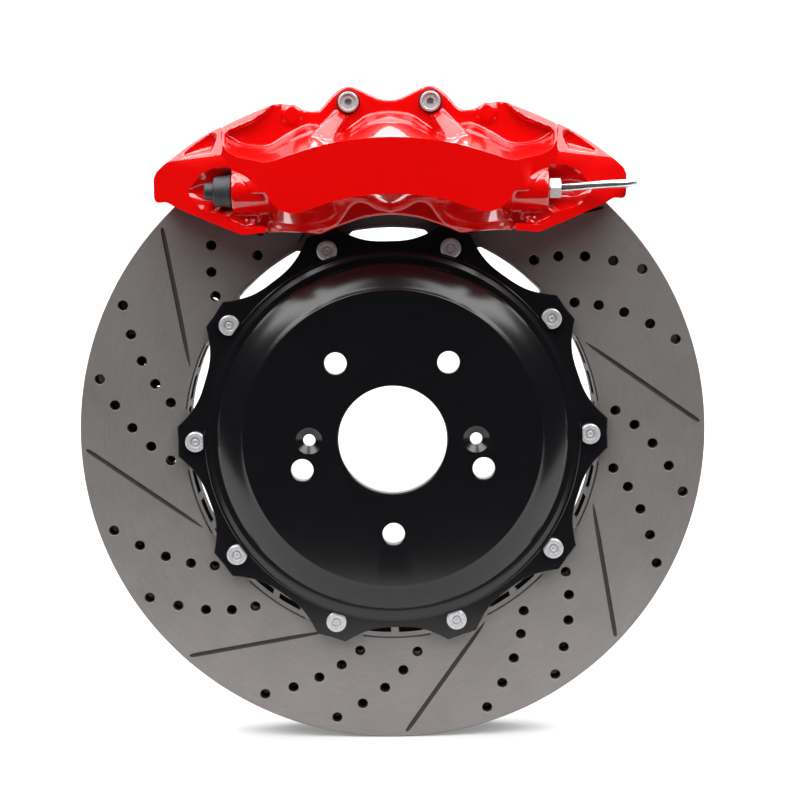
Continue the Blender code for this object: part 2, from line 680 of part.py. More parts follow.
def bore_cutter(name, centre, radius, side):
    groove = radius + SEAL_DEPTH
    profile = (
        (-RUN_OUT, radius),
        (SEAL_START, radius),
        (SEAL_START, groove),
        (SEAL_START + SEAL_WIDTH, groove),
        (SEAL_START + SEAL_WIDTH, radius),
        (BORE_DEPTH, radius),
    )
    return turned(name, centre, outwards(side), profile, 24)


def bolt_cutter(label, side):
    """Holes for the body bolts, bridge screws and pad pins: blind in the outer half."""
    drills = []
    for hand in (1, -1):
        for x in BODY_BOLT_X:
            radius = BODY_BOLT_RADIUS + GAP
            profile = [(-RUN_OUT, radius), (BODY_BOLT_SEAT, radius)]
            if side < 0:
                wide = BODY_BOLT_HEAD_RADIUS + HEAD_CLEARANCE
                profile += [(BODY_BOLT_SEAT, wide), (PANEL + RUN_OUT, wide)]
            drills.append(crossing_drill(f"{label}_bolt_{hand * x:.3f}", side, hand * x, profile))
        radius = BRIDGE_SCREW_RADIUS + GAP
        wide = BRIDGE_SCREW_HEAD_RADIUS + HEAD_CLEARANCE
        sink = LOBE - HEAD_SINK
        profile = ((WINDOW - RUN_OUT, radius), (sink, radius), (sink, wide), (PANEL, wide))
        drills.append(crossing_drill(f"{label}_screw_{hand}", side, hand * BRIDGE_SCREW_X, profile))
        radius = PAD_PIN_RADIUS + GAP
        end = WINDOW + PAD_PIN_BLIND if side > 0 else PANEL
        profile = ((WINDOW - RUN_OUT, radius), (end, radius))
        drills.append(crossing_drill(f"{label}_pin_{hand}", side, hand * PAD_PIN_X, profile))
    return pooled(f"{label}_drillings", drills)


def crossing_drill(name, side, x, profile):
    return turned(name, at_rim(side, x, OVER_RIM, 0), outwards(side), profile, 16)


def port_cutter(label, side):
    """Threaded holes for the bleed screw and the tube nut and, on the inner half, hose and ears."""
    drills = []
    for hand in (1, -1):
        centre = at_rim(side, PORT_X, -PORT_RIM_DROP, PANEL - PORT_DROP)
        centre.x = hand * (PORT_X + RUN_OUT)
        profile = ((0, PORT_HOLE_RADIUS), (RUN_OUT + PORT_HOLE_DEPTH, PORT_HOLE_RADIUS))
        drills.append(turned(f"{label}_port_{hand}", centre, (-hand, 0, 0), profile, 16))
        if side < 0:
            x, z = rim_point(EAR_X, -EAR_DROP)
            centre = place(side, hand * x, EAR_START - RUN_OUT, z)
            profile = ((0, EAR_HOLE_RADIUS), (EAR_THICKNESS + 2 * RUN_OUT, EAR_HOLE_RADIUS))
            drills.append(turned(f"{label}_ear_drill_{hand}", centre, outwards(side), profile, 16))
    if side < 0:
        top = PANEL + HOSE_BOSS_HEIGHT
        centre = at_rim(side, HOSE_X, -HOSE_DROP, top - HOSE_HOLE_DEPTH)
        profile = ((0, HOSE_HOLE_RADIUS), (HOSE_HOLE_DEPTH + RUN_OUT, HOSE_HOLE_RADIUS))
        drills.append(turned(f"{label}_hose_drill", centre, outwards(side), profile, 16))
    return pooled(f"{label}_ports", drills)


# Fasteners and bridge of the caliper


def make_body_bolts(material):
    """Cap screws from the inner half into the outer half, clear of the disc's rim."""
    number = 0
    for hand in (-1, 1):
        for x in BODY_BOLT_X:
            number += 1
            seat = at_rim(-1, hand * x, OVER_RIM, BODY_BOLT_SEAT + GAP)
            profile = (
                (-BODY_BOLT_HEAD_HEIGHT, BODY_BOLT_HEAD_RADIUS),
                (0, BODY_BOLT_HEAD_RADIUS),
                (0, BODY_BOLT_RADIUS),
                (2 * BODY_BOLT_SEAT - BODY_BOLT_BLIND, BODY_BOLT_RADIUS),
            )
            bolt = turned(f"body_bolt_{number}", seat, (0, -1, 0), profile, 16, material)
            radius, depth = BODY_BOLT_SOCKET
            top = -BODY_BOLT_HEAD_HEIGHT
            socket = ((top - RUN_OUT, radius), (top + depth, radius))
            cut(bolt, turned(f"body_bolt_socket_{number}", seat, (0, -1, 0), socket, 6))


def make_bridge(material):
    """A waisted tie between the lobes of the two halves, over the middle of the pads."""
    half = WINDOW - GAP
    low = DISC_RADIUS + BRIDGE_CLEARANCE
    centre_z = rim_point(BRIDGE_SCREW_X, OVER_RIM)[1]
    turns = [math.radians(-20 + 20 * i) for i in range(8)]
    eye = [
        (BRIDGE_SCREW_X + BRIDGE_EYE_RADIUS * math.cos(turn), centre_z + BRIDGE_EYE_RADIUS * math.sin(turn))
        for turn in turns
    ]
    right = [(BRIDGE_SCREW_X + BRIDGE_FOOT, low)] + eye + [(0, DISC_RADIUS + BRIDGE_RISE)]
    outline = right + [(-x, z) for x, z in reversed(right) if x > 0]
    loops = [[(x, MIDDLE + y, z) for x, z in outline] for y in (-half, half)]
    bridge = skin("bridge", loops, material)
    drills = []
    for side in (1, -1):
        for hand in (1, -1):
            centre = at_rim(side, hand * BRIDGE_SCREW_X, OVER_RIM, WINDOW + RUN_OUT)
            profile = ((0, BRIDGE_SCREW_RADIUS + GAP), (BRIDGE_SCREW_LENGTH, BRIDGE_SCREW_RADIUS + GAP))
            drills.append(turned(f"bridge_drill_{side}_{hand}", centre, -outwards(side), profile, 16))
    cut(bridge, pooled("bridge_drillings", drills))
    far = BRIDGE_WAIST + WAIST_REACH
    waist = ((BRIDGE_WAIST, -1), (BRIDGE_WAIST, 1), (far, WAIST_FLARE), (far, -WAIST_FLARE))
    for hand in (1, -1):
        shape = [(hand * x, MIDDLE + y * DISC_THICKNESS / 2) for x, y in waist]
        loops = [[(x, y, z) for x, y in shape] for z in (0, DISC_RADIUS + WELL_ABOVE)]
        cut(bridge, skin(f"bridge_waist_{hand}", loops))


def make_bridge_screws(material):
    number = 0
    for side in (1, -1):
        for hand in (-1, 1):
            number += 1
            seat = at_rim(side, hand * BRIDGE_SCREW_X, OVER_RIM, LOBE - HEAD_SINK + GAP)
            profile = (
                (-BRIDGE_SCREW_HEAD_HEIGHT, BRIDGE_SCREW_HEAD_RADIUS),
                (0, BRIDGE_SCREW_HEAD_RADIUS),
                (0, BRIDGE_SCREW_RADIUS),
                (BRIDGE_SCREW_LENGTH, BRIDGE_SCREW_RADIUS),
            )
            screw = turned(f"bridge_screw_{number}", seat, -outwards(side), profile, 16, material)
            radius, depth = BRIDGE_SCREW_SOCKET
            top = -BRIDGE_SCREW_HEAD_HEIGHT
            socket = ((top - RUN_OUT, radius), (top + depth, radius))
            cut(screw, turned(f"bridge_socket_{number}", seat, -outwards(side), socket, 6))


def make_pad_pins(material):
    for number, hand in ((1, -1), (2, 1)):
        start = at_rim(1, hand * PAD_PIN_X, OVER_RIM, WINDOW + PAD_PIN_BLIND - GAP)
        length = 2 * WINDOW + PAD_PIN_BLIND - GAP + BRIDGE_WALL + GAP
        profile = (
            (0, PAD_PIN_RADIUS),
            (length, PAD_PIN_RADIUS),
            (length, PAD_PIN_HEAD_RADIUS),
            (length + PAD_PIN_HEAD_HEIGHT, PAD_PIN_HEAD_RADIUS),
        )
        turned(f"pad_pin_{number}", start, (0, 1, 0), profile, 12, material)


# Pads, pistons and seals


def pad_outline(inset):
    """The pad's edge drawn in by an inset, along the disc's rim at the top."""
    end = PAD_HALF_LENGTH - inset
    stretch = PAD_HALF_LENGTH / DRAWN_PAD_HALF_LENGTH * MM
    half = [(min(x * stretch, end), offset * MM + inset) for x, offset in PAD_LOWER_EDGE]
    half += [(min(x * stretch, end), offset * MM - inset) for x, offset in PAD_UPPER_EDGE]
    half += [(x * stretch, -PAD_TOP - inset) for x in PAD_TOP_STATIONS]
    points = [rim_point(x, offset) for x, offset in half]
    return points + [(-x, z) for x, z in reversed(points) if x > 0]


def make_pad(label, side, steel, friction):
    origin = (0, MIDDLE, DISC_RADIUS - PISTON_DROP)
    near = DISC_THICKNESS / 2 + PAD_CLEARANCE
    middle = near + LINING_THICKNESS
    outline = pad_outline(LINING_INSET)
    loops = [level(outline, side, near), level(outline, side, middle - GAP)]
    lining = skin(f"{label}_pad_lining", loops, friction, origin=origin)
    half = LINING_GROOVE_HALF
    groove = ((-half, 0), (half, 0), (half, DISC_RADIUS), (-half, DISC_RADIUS))
    loops = [level(groove, side, near - RUN_OUT), level(groove, side, near + LINING_GROOVE)]
    cut(lining, skin(f"{label}_wear_groove", loops))
    outline = pad_outline(0)
    loops = [level(outline, side, middle), level(outline, side, middle + PLATE_THICKNESS)]
    plate = skin(f"{label}_pad_plate", loops, steel, origin=origin)
    for hand in (1, -1):
        add(plate, pad_ear(f"{label}_pad_ear_{hand}", side, hand, middle))
        centre = at_rim(side, hand * PAD_PIN_X, OVER_RIM, middle - RUN_OUT)
        radius = PAD_PIN_RADIUS + PIN_CLEARANCE
        profile = ((0, radius), (PLATE_THICKNESS + 2 * RUN_OUT, radius))
        cut(plate, turned(f"{label}_pin_hole_{hand}", centre, outwards(side), profile, 16))


def pad_ear(name, side, hand, start):
    centre_x, centre_z = rim_point(PAD_PIN_X, OVER_RIM)
    radius = PAD_EAR_RADIUS
    turns = [math.radians(20 * i) for i in range(10)]
    shape = [(centre_x + radius * math.cos(t), centre_z + radius * math.sin(t)) for t in turns]
    root = rim_point(PAD_PIN_X, -PAD_TOP - radius)[1]
    near, far = PAD_EAR_SPREAD
    shape += [(centre_x - radius - near, root), (centre_x + radius + far, root)]
    shape = [(hand * x, z) for x, z in shape]
    return skin(name, [level(shape, side, start), level(shape, side, start + PLATE_THICKNESS)])


def make_pistons(label, side, aluminium, rubber):
    for number, (x, radius) in enumerate(piston_places(), 1):
        mouth = at_rim(side, x, -PISTON_DROP, WINDOW)
        cup = radius - PISTON_WALL
        start = -PISTON_STAND
        profile = (
            (start + PISTON_CUP, cup),
            (start, cup),
            (start, radius),
            (start + PISTON_LENGTH, radius),
        )
        turned(f"piston_{label}_{number}", mouth, outwards(side), profile, 24, aluminium, origin=mouth)
        inside, outside = radius + PISTON_FIT, radius + PISTON_FIT + SEAL_DEPTH - GAP
        ends = (SEAL_START + GAP, SEAL_START + SEAL_WIDTH - GAP)
        profile = ((ends[0], inside), (ends[0], outside), (ends[1], outside), (ends[1], inside))
        turned(f"piston_seal_{label}_{number}", mouth, outwards(side), profile, 24, rubber, joined=True)


# Pipework and bleeders


def make_bleeder(label, side, steel, rubber):
    """A bleed screw and its rubber cap, pointing to -X out of the left boss."""
    mouth = at_rim(side, PORT_X, -PORT_RIM_DROP, PANEL - PORT_DROP)
    mouth.x = -PORT_X
    along = (-1, 0, 0)
    hexagon = hexagon_radius(BLEED_HEX)
    body = NUT_BODY_RADIUS
    profile = ((GAP, hexagon), (BLEED_HEX_LENGTH, hexagon))
    screw = turned(f"bleed_screw_{label}", mouth, along, profile, 6, steel, origin=mouth)
    profile = ((-PORT_HOLE_DEPTH + MM, body), (MM, body))
    add(screw, turned(f"bleed_thread_{label}", mouth, along, profile, 12, origin=mouth))
    end = BLEED_HEX_LENGTH + BLEED_NIPPLE_LENGTH
    profile = ((BLEED_HEX_LENGTH - MM, BLEED_NIPPLE_RADIUS), (end, BLEED_NIPPLE_RADIUS))
    add(screw, turned(f"bleed_nipple_{label}", mouth, along, profile, 12, origin=mouth))
    skirt = CAP_SKIRT_LENGTH
    length = skirt + CAP_TIP_LENGTH
    profile = (
        (length - CAP_WALL, BLEED_NIPPLE_RADIUS + GAP),
        (skirt - CAP_WALL, BLEED_NIPPLE_RADIUS + GAP),
        (skirt - CAP_WALL, CAP_SHOULDER_RADIUS - CAP_WALL),
        (GAP, CAP_MOUTH_RADIUS - CAP_WALL),
        (GAP, CAP_MOUTH_RADIUS),
        (skirt, CAP_SHOULDER_RADIUS),
        (skirt, CAP_TIP_RADIUS),
        (length, CAP_TIP_RADIUS),
    )
    turned(f"bleed_cap_{label}", mouth, along, profile, 20, rubber, origin=mouth)


def make_tube_nut(label, side, material):
    mouth = at_rim(side, PORT_X, -PORT_RIM_DROP, PANEL - PORT_DROP)
    hexagon = hexagon_radius(TUBE_NUT_HEX)
    profile = ((GAP, hexagon), (TUBE_NUT_LENGTH, hexagon))
    nut = turned(f"tube_nut_{label}", mouth, (1, 0, 0), profile, 6, material)
    profile = ((-PORT_HOLE_DEPTH + MM, NUT_BODY_RADIUS), (MM, NUT_BODY_RADIUS))
    add(nut, turned(f"tube_nut_thread_{label}", mouth, (1, 0, 0), profile, 12))
    radius = PIPE_RADIUS + PIPE_FIT
    profile = ((-PORT_HOLE_DEPTH, radius), (TUBE_NUT_LENGTH + RUN_OUT, radius))
    cut(nut, turned(f"tube_nut_bore_{label}", mouth, (1, 0, 0), profile, 12))


def pipe_route():
    """From the outer half's port, round the end of the caliper, to the same port of the inner half."""
    start = at_rim(1, PORT_X, -PORT_RIM_DROP, PANEL - PORT_DROP)
    far = HALF_LENGTH + PIPE_END_CLEARANCE + PIPE_RADIUS
    bend = far - PIPE_BEND
    level_x = PORT_X + TUBE_NUT_LENGTH + 2 * MM
    rise = start.z + PIPE_RISE
    half = [(start.x - PIPE_INSERT, start.y, start.z), (level_x, start.y, start.z)]
    half.append((level_x + (bend - level_x) * 0.6, start.y, start.z + PIPE_RISE * 0.8))
    for i in range(6):
        turn = math.radians(-90 + 18 * i)
        x = bend + PIPE_BEND * math.cos(turn)
        half.append((x, start.y + PIPE_BEND + PIPE_BEND * math.sin(turn), rise))
    other = [(x, 2 * MIDDLE - y, z) for x, y, z in reversed(half)]
    return half + other


def make_pipe(material):
    route = pipe_route()
    curve = bpy.data.curves.new("crossover_pipe", "CURVE")
    curve.dimensions = "3D"
    curve.bevel_depth = PIPE_RADIUS
    curve.bevel_resolution = 2
    curve.use_fill_caps = True
    spline = curve.splines.new("POLY")
    spline.points.add(len(route) - 1)
    for point, place_on_route in zip(spline.points, route):
        point.co = (*place_on_route, 1)
    curve.materials.append(material)
    pipe = bpy.data.objects.new("crossover_pipe", curve)
    bpy.context.scene.collection.objects.link(pipe)


def main():
    for existing in list(bpy.data.objects):
        bpy.data.objects.remove(existing)
    iron = surface("ground_iron", (0.30, 0.28, 0.27), 0.42, 1.0)
    black = surface("black_anodised", (0.012, 0.012, 0.014), 0.38, 0.2)
    zinc = surface("zinc_plated", (0.62, 0.63, 0.65), 0.28, 1.0)
    red = surface("red_paint", (0.80, 0.004, 0.004), 0.16, 0.0)
    plate = surface("pad_steel", (0.05, 0.05, 0.055), 0.5, 0.6)
    friction = surface("friction_lining", (0.09, 0.085, 0.08), 0.9, 0.0)
    aluminium = surface("piston_aluminium", (0.55, 0.55, 0.57), 0.35, 1.0)
    rubber = surface("black_rubber", (0.028, 0.031, 0.034), 0.5, 0.0)

    make_ring(iron)
    make_hat(black)
    make_hat_fasteners(zinc)
    make_body_bolts(zinc)
    make_bridge(red)
    make_bridge_screws(zinc)
    make_pad_pins(zinc)
    make_pipe(zinc)
    for label, side in (("outer", 1), ("inner", -1)):
        make_half(f"caliper_{label}_half", side, red)
        make_pad(label, side, plate, friction)
        make_pistons(label, side, aluminium, rubber)
        make_bleeder(label, side, zinc, rubber)
        make_tube_nut(label, side, zinc)


main()
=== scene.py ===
import json
import math

import bpy
from mathutils import Matrix, Vector

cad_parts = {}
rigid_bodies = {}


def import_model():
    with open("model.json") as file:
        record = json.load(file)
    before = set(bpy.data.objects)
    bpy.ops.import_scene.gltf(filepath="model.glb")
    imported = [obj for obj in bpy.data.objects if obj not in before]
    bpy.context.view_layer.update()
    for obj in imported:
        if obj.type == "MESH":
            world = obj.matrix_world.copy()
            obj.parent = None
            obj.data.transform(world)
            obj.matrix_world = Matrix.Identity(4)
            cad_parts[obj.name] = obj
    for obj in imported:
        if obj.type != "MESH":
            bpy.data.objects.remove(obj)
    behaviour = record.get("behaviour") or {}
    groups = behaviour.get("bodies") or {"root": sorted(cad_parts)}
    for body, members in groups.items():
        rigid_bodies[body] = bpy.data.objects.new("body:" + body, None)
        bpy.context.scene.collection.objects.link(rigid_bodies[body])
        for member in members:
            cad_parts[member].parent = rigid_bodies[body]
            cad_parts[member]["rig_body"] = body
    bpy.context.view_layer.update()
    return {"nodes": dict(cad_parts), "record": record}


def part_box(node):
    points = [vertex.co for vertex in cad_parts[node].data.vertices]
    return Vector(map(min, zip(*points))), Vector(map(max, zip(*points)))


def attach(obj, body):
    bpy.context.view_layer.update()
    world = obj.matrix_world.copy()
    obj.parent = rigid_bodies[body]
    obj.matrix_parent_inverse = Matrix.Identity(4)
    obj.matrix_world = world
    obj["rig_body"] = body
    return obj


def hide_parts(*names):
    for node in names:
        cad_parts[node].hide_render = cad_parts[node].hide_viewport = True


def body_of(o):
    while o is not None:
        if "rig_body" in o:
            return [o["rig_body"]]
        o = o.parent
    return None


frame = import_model()
nodes = frame["nodes"]
mm = 0.001
bpy.context.scene.view_settings.view_transform = "Standard"

ringLow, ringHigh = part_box("rotor_ring")
hatLow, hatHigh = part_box("rotor_hat")
discRadius = round(ringHigh.x / mm) * mm
discFront = ringLow.y
discBack = ringHigh.y
middle = (discFront + discBack) / 2  # plane between the two caliper halves
print("frame loaded, disc radius", round(discRadius / mm, 1))


def deselectAll():
    for chosen in list(bpy.context.selected_objects):
        chosen.select_set(False)


def activate(piece):
    deselectAll()
    piece.select_set(True)
    bpy.context.view_layer.objects.active = piece


def applyModifier(piece, kind, settings):
    modifier = piece.modifiers.new(kind.lower(), kind)
    for key, value in settings.items():
        setattr(modifier, key, value)
    activate(piece)
    bpy.ops.object.modifier_apply(modifier=modifier.name)


def carve(piece, tool, operation="DIFFERENCE"):
    # a cut that leaves the piece bigger, or empty, has failed: it is made again with the other solver
    before, size = piece.data.copy(), max(piece.dimensions)
    applyModifier(piece, "BOOLEAN", {"operation": operation, "object": tool, "solver": "EXACT"})
    grown = max(piece.dimensions) > size + 0.1 * mm
    gone = max(piece.dimensions) < size / 2
    if operation == "DIFFERENCE" and (grown or gone):
        print("cut of", piece.name, "by", tool.name, "made again")
        piece.data = before
        applyModifier(piece, "BOOLEAN", {"operation": operation, "object": tool, "solver": "MANIFOLD"})
    bpy.data.objects.remove(tool)


def weld(piece, places):
    carve(piece, places, "UNION")


def gather(name, pieces):
    deselectAll()
    for piece in pieces:
        piece.select_set(True)
    bpy.context.view_layer.objects.active = pieces[0]
    if len(pieces) > 1:
        bpy.ops.object.join()
    pieces[0].name = name
    return pieces[0]


def asObject(name, points, edges, faces):
    shape = bpy.data.meshes.new(name)
    shape.from_pydata([tuple(point) for point in points], edges, faces)
    piece = bpy.data.objects.new(name, shape)
    bpy.context.scene.collection.objects.link(piece)
    activate(piece)
    return piece


def inEditMode(piece):
    activate(piece)
    bpy.ops.object.mode_set(mode="EDIT")
    bpy.ops.mesh.select_all(action="SELECT")


def tidyShell():
    bpy.ops.mesh.remove_doubles(threshold=0.000001)
    bpy.ops.mesh.normals_make_consistent(inside=False)
    bpy.ops.object.mode_set(mode="OBJECT")


def loft(name, *loops):
    # a closed solid through outlines that have the same number of points
    count = len(loops[0])
    last = (len(loops) - 1) * count
    faces = [list(range(count)), list(range(last, last + count))]
    for start in range(0, last, count):
        for i in range(count):
            j = (i + 1) % count
            faces.append([start + i, start + j, start + count + j, start + count + i])
    piece = asObject(name, [point for loop in loops for point in loop], [], faces)
    inEditMode(piece)
    tidyShell()
    return piece


def lathe(name, profile, steps, centre=(0, 0, 0), along=(0, 1, 0)):
    # a profile of (distance, radius) spun round the line through centre
    along, centre = Vector(along), Vector(centre)
    across = Vector((0, 0, 1)) if abs(along.z) < 0.9 else Vector((1, 0, 0))
    points = [centre + along * distance + across * radius for distance, radius in profile]
    edges = [(i, i + 1) for i in range(len(points) - 1)]
    if profile[0] == profile[-1]:
        points.pop()
        edges[-1] = (len(points) - 1, 0)
    piece = asObject(name, points, edges, [])
    inEditMode(piece)
    bpy.ops.mesh.spin(steps=steps, angle=math.tau, center=centre, axis=along)
    bpy.ops.mesh.select_all(action="SELECT")
    tidyShell()
    return piece


def drill(name, radius, start, end, centre, along=(0, 1, 0), steps=24):
    # a plain round rod or cutter from start to end along its line
    return lathe(name, [(start, 0), (start, radius), (end, radius), (end, 0)], steps, centre, along)


def finished(piece, slotName, replaced, angle=35, finish=None):
    # smooth shading, the finish of its slot, and the body and place of the CAD nodes it stands for
    activate(piece)
    bpy.ops.object.shade_smooth_by_angle(angle=math.radians(angle))
    piece.data.materials.clear()
    piece.data.materials.append(finishes[finish or slotName])
    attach(piece, body_of(nodes[replaced[0]])[0])
    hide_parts(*replaced)
    print("made", piece.name, len(piece.data.polygons), "faces")
    return piece


def nearest(prefix, piece):
    # the CAD node of a repeated kind that lies where this piece does
    points = [vertex.co for vertex in piece.data.vertices]
    centre = Vector([(min(p[axis] for p in points) + max(p[axis] for p in points)) / 2 for axis in range(3)])

    def away(name):
        low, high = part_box(name)
        return ((low + high) / 2 - centre).length

    return min((name for name in nodes if name.startswith(prefix)), key=away)


def refined(node, width, segments=3):
    # the same solid with its flat faces cleaned and its edges eased
    piece = nodes[node].copy()
    piece.data = nodes[node].data.copy()
    piece.parent = None
    bpy.context.scene.collection.objects.link(piece)
    piece.name = node + "_fine"
    inEditMode(piece)
    bpy.ops.mesh.remove_doubles(threshold=0.000002)
    bpy.ops.mesh.dissolve_limited(angle_limit=math.radians(2))
    bpy.ops.mesh.normals_make_consistent(inside=False)
    bpy.ops.object.mode_set(mode="OBJECT")
    if width:
        applyModifier(piece, "BEVEL", {"width": width, "segments": segments, "limit_method": "ANGLE",
                                       "angle_limit": math.radians(40), "harden_normals": False})
    return piece


def turned(piece, degrees):
    # the piece's mesh turned round the wheel axis
    piece.data.transform(Matrix.Rotation(-math.radians(degrees), 4, "Y"))


def twin(piece, name):
    copy = piece.copy()
    copy.data = piece.data.copy()
    copy.name = name
    bpy.context.scene.collection.objects.link(copy)
    return copy


def polar(radius, degrees, y=0.0):
    turn = math.radians(degrees)
    return Vector((radius * math.cos(turn), y, radius * math.sin(turn)))


def smoothLine(points, cuts):
    # a curve through the points; a point given twice stays a corner
    out = []
    last = len(points) - 1
    for i in range(last):
        a, b = Vector(points[i]), Vector(points[i + 1])
        before = Vector(points[max(i - 1, 0)])
        after = Vector(points[min(i + 2, last)])
        if (a - b).length < 1e-9:
            continue
        for k in range(cuts):
            t = k / cuts
            step = 0.5 * (
                2 * a + (b - before) * t + (2 * before - 5 * a + 4 * b - after) * t * t
                + (3 * a - before - 3 * b + after) * t * t * t
            )
            out.append(step)
    out.append(Vector(points[-1]))
    return out


class Value:  # one output of a node, which takes part in sums

    def __init__(self, finish, socket):
        self.finish = finish
        self.socket = socket

    def work(self, operation, first, second=0.0):
        return self.finish.node("ShaderNodeMath", {"operation": operation}, {0: first, 1: second})

    def __add__(self, other):
        return self.work("ADD", self, other)

    def __radd__(self, other):
        return self.work("ADD", other, self)

    def __sub__(self, other):
        return self.work("SUBTRACT", self, other)

    def __rsub__(self, other):
        return self.work("SUBTRACT", other, self)

    def __mul__(self, other):
        return self.work("MULTIPLY", self, other)

    def __rmul__(self, other):
        return self.work("MULTIPLY", other, self)

    def __pow__(self, other):
        return self.work("POWER", self, other)

    def __gt__(self, other):
        return self.work("GREATER_THAN", self, other)

    def __abs__(self):
        return self.work("ABSOLUTE", self)


class Finish:

    def __init__(self, name, settings):
        self.material = bpy.data.materials.new(name)
        self.material.use_nodes = True
        self.tree = self.material.node_tree
        self.shader = self.tree.nodes["Principled BSDF"]
        for key, value in settings.items():
            self.shader.inputs[key].default_value = value

    def node(self, kind, settings, inputs, output=0):
        made = self.tree.nodes.new(kind)
        for key, value in settings.items():
            if key == "stops":
                for stop, (place, colour) in zip(made.color_ramp.elements, value):
                    stop.position = place
                    stop.color = colour
            else:
                setattr(made, key, value)
        for key, value in inputs.items():
            self.feed(made.inputs[key], value)
        return Value(self, made.outputs[output])

    def feed(self, socket, value):
        if isinstance(value, Value):
            self.tree.links.new(value.socket, socket)
        else:
            socket.default_value = value

    def place(self):
        return self.node("ShaderNodeTexCoord", {}, {}, "Object")

    def parts(self):
        where = self.place()
        return [self.node("ShaderNodeSeparateXYZ", {}, {0: where}, axis) for axis in "XYZ"]

    def joined(self, x, y, z):
        return self.node("ShaderNodeCombineXYZ", {}, {0: x, 1: y, 2: z})

    def noise(self, scale, detail=4.0, rough=0.6, where=None):
        inputs = {"Vector": where or self.place(), "Scale": scale, "Detail": detail, "Roughness": rough}
        return self.node("ShaderNodeTexNoise", {}, inputs)

    def ramp(self, value, low, high):
        stops = ((low, (0, 0, 0, 1)), (high, (1, 1, 1, 1)))
        return self.node("ShaderNodeValToRGB", {"stops": stops}, {0: value})

    def mix(self, share, first, second):
        inputs = {0: share, 6: first, 7: second}
        return self.node("ShaderNodeMix", {"data_type": "RGBA"}, inputs, 2)

    def bump(self, height, distance, strength=1.0):
        inputs = {"Height": height, "Distance": distance, "Strength": strength}
        self.feed(self.shader.inputs["Normal"], self.node("ShaderNodeBump", {}, inputs))

    def colour(self, value):
        self.feed(self.shader.inputs["Base Color"], value)

    def roughness(self, value):
        self.feed(self.shader.inputs["Roughness"], value)


def rgb(red, green, blue):
    return (red, green, blue, 1.0)


def redPaint():
    paint = {"base": rgb(0.78, 0.0, 0.0), "deep": rgb(0.66, 0.0, 0.0)}
    finish = Finish("red_paint", {"Roughness": 0.32, "Coat Weight": 1.0, "Coat Roughness": 0.03,
                                  "Coat IOR": 1.7, "Specular IOR Level": 0.1})
    cloud = finish.noise(28, 3)
    finish.colour(finish.mix(cloud, paint["base"], paint["deep"]))
    finish.roughness(0.3 + 0.08 * finish.noise(900, 2))
    finish.bump(finish.noise(420, 2), 0.00004, 0.5)  # faint orange peel
    return finish.material


def groundIron():
    iron = {"face": rgb(0.29, 0.27, 0.26), "dull": rgb(0.21, 0.195, 0.185), "cast": rgb(0.055, 0.05, 0.047)}
    finish = Finish("ground_iron", {"Metallic": 0.6})
    x, y, z = finish.parts()
    radius = (x * x + z * z) ** 0.5
    turn = finish.node("ShaderNodeMath", {"operation": "ARCTAN2"}, {0: z, 1: x})
    scratch = finish.noise(1.0, 3, 0.6, finish.joined(radius * 2600, turn * 14, y * 40))
    grain = finish.noise(950, 4, 0.7)
    patch = finish.noise(34, 4, 0.6)
    ground = abs(y - middle) > (discBack - discFront) / 2 - 0.2 * mm
    tone = finish.ramp(0.45 * scratch + 0.3 * grain + 0.35 * patch, 0.35, 0.75)
    finish.colour(finish.mix(ground, iron["cast"], finish.mix(tone, iron["dull"], iron["face"])))
    finish.roughness(0.62 - ground * (0.2 - 0.12 * grain))
    finish.bump(scratch * ground + grain * (1.6 - ground), 0.00005, 0.5)
    return finish.material


def blackAnodised():
    black = {"base": rgb(0.0035, 0.0035, 0.0045), "worn": rgb(0.006, 0.006, 0.007)}
    finish = Finish("black_anodised", {"Specular IOR Level": 0.5})
    x, y, z = finish.parts()
    radius = (x * x + z * z) ** 0.5
    lathed = finish.noise(1.0, 2, 0.5, finish.joined(radius * 3200, y * 3200, 0.0))
    grain = finish.noise(1600, 3, 0.6)
    finish.colour(finish.mix(finish.noise(60, 3), black["base"], black["worn"]))
    finish.roughness(0.17 + 0.08 * grain)
    finish.bump(0.6 * lathed + 0.4 * grain, 0.000012, 0.4)
    return finish.material


def brightMetal(name, base, shade, rough, scale, metal):
    finish = Finish(name, {"Metallic": metal})
    grain = finish.noise(scale, 4, 0.6)
    finish.colour(finish.mix(grain, base, shade))
    finish.roughness(rough + 0.14 * finish.noise(scale * 2.5, 3, 0.7))
    finish.bump(grain, 0.00003, 0.4)
    return finish.material


def matteFinish(name, base, shade, rough, scale, height):
    finish = Finish(name, {"Specular IOR Level": 0.4})
    grain = finish.noise(scale, 5, 0.7)
    finish.colour(finish.mix(finish.ramp(grain, 0.4, 0.65), base, shade))
    finish.roughness(rough + 0.1 * grain)
    finish.bump(grain, height, 0.6)
    return finish.material


metals = {
    "zinc_plated": (rgb(0.6, 0.6, 0.61), rgb(0.48, 0.48, 0.5), 0.2, 500, 0.3),
    "bright_pipe": (rgb(0.7, 0.69, 0.68), rgb(0.6, 0.59, 0.58), 0.12, 400, 0.9),
    "piston_aluminium": (rgb(0.55, 0.55, 0.57), rgb(0.45, 0.45, 0.47), 0.28, 300, 1.0),
}
mattes = {
    "pad_steel": (rgb(0.03, 0.03, 0.033), rgb(0.045, 0.045, 0.05), 0.4, 700, 0.00004),
    "friction_lining": (rgb(0.05, 0.047, 0.043), rgb(0.16, 0.13, 0.1), 0.8, 900, 0.0002),
    "black_rubber": (rgb(0.022, 0.025, 0.028), rgb(0.034, 0.038, 0.042), 0.42, 800, 0.00005),
}
finishes = {"red_paint": redPaint(), "ground_iron": groundIron(), "black_anodised": blackAnodised()}
for name, look in metals.items():
    finishes[name] = brightMetal(name, *look)
for name, look in mattes.items():
    finishes[name] = matteFinish(name, *look)
slotOf = {part["node"]: part["material_slot"] for part in frame["record"]["subparts"]}
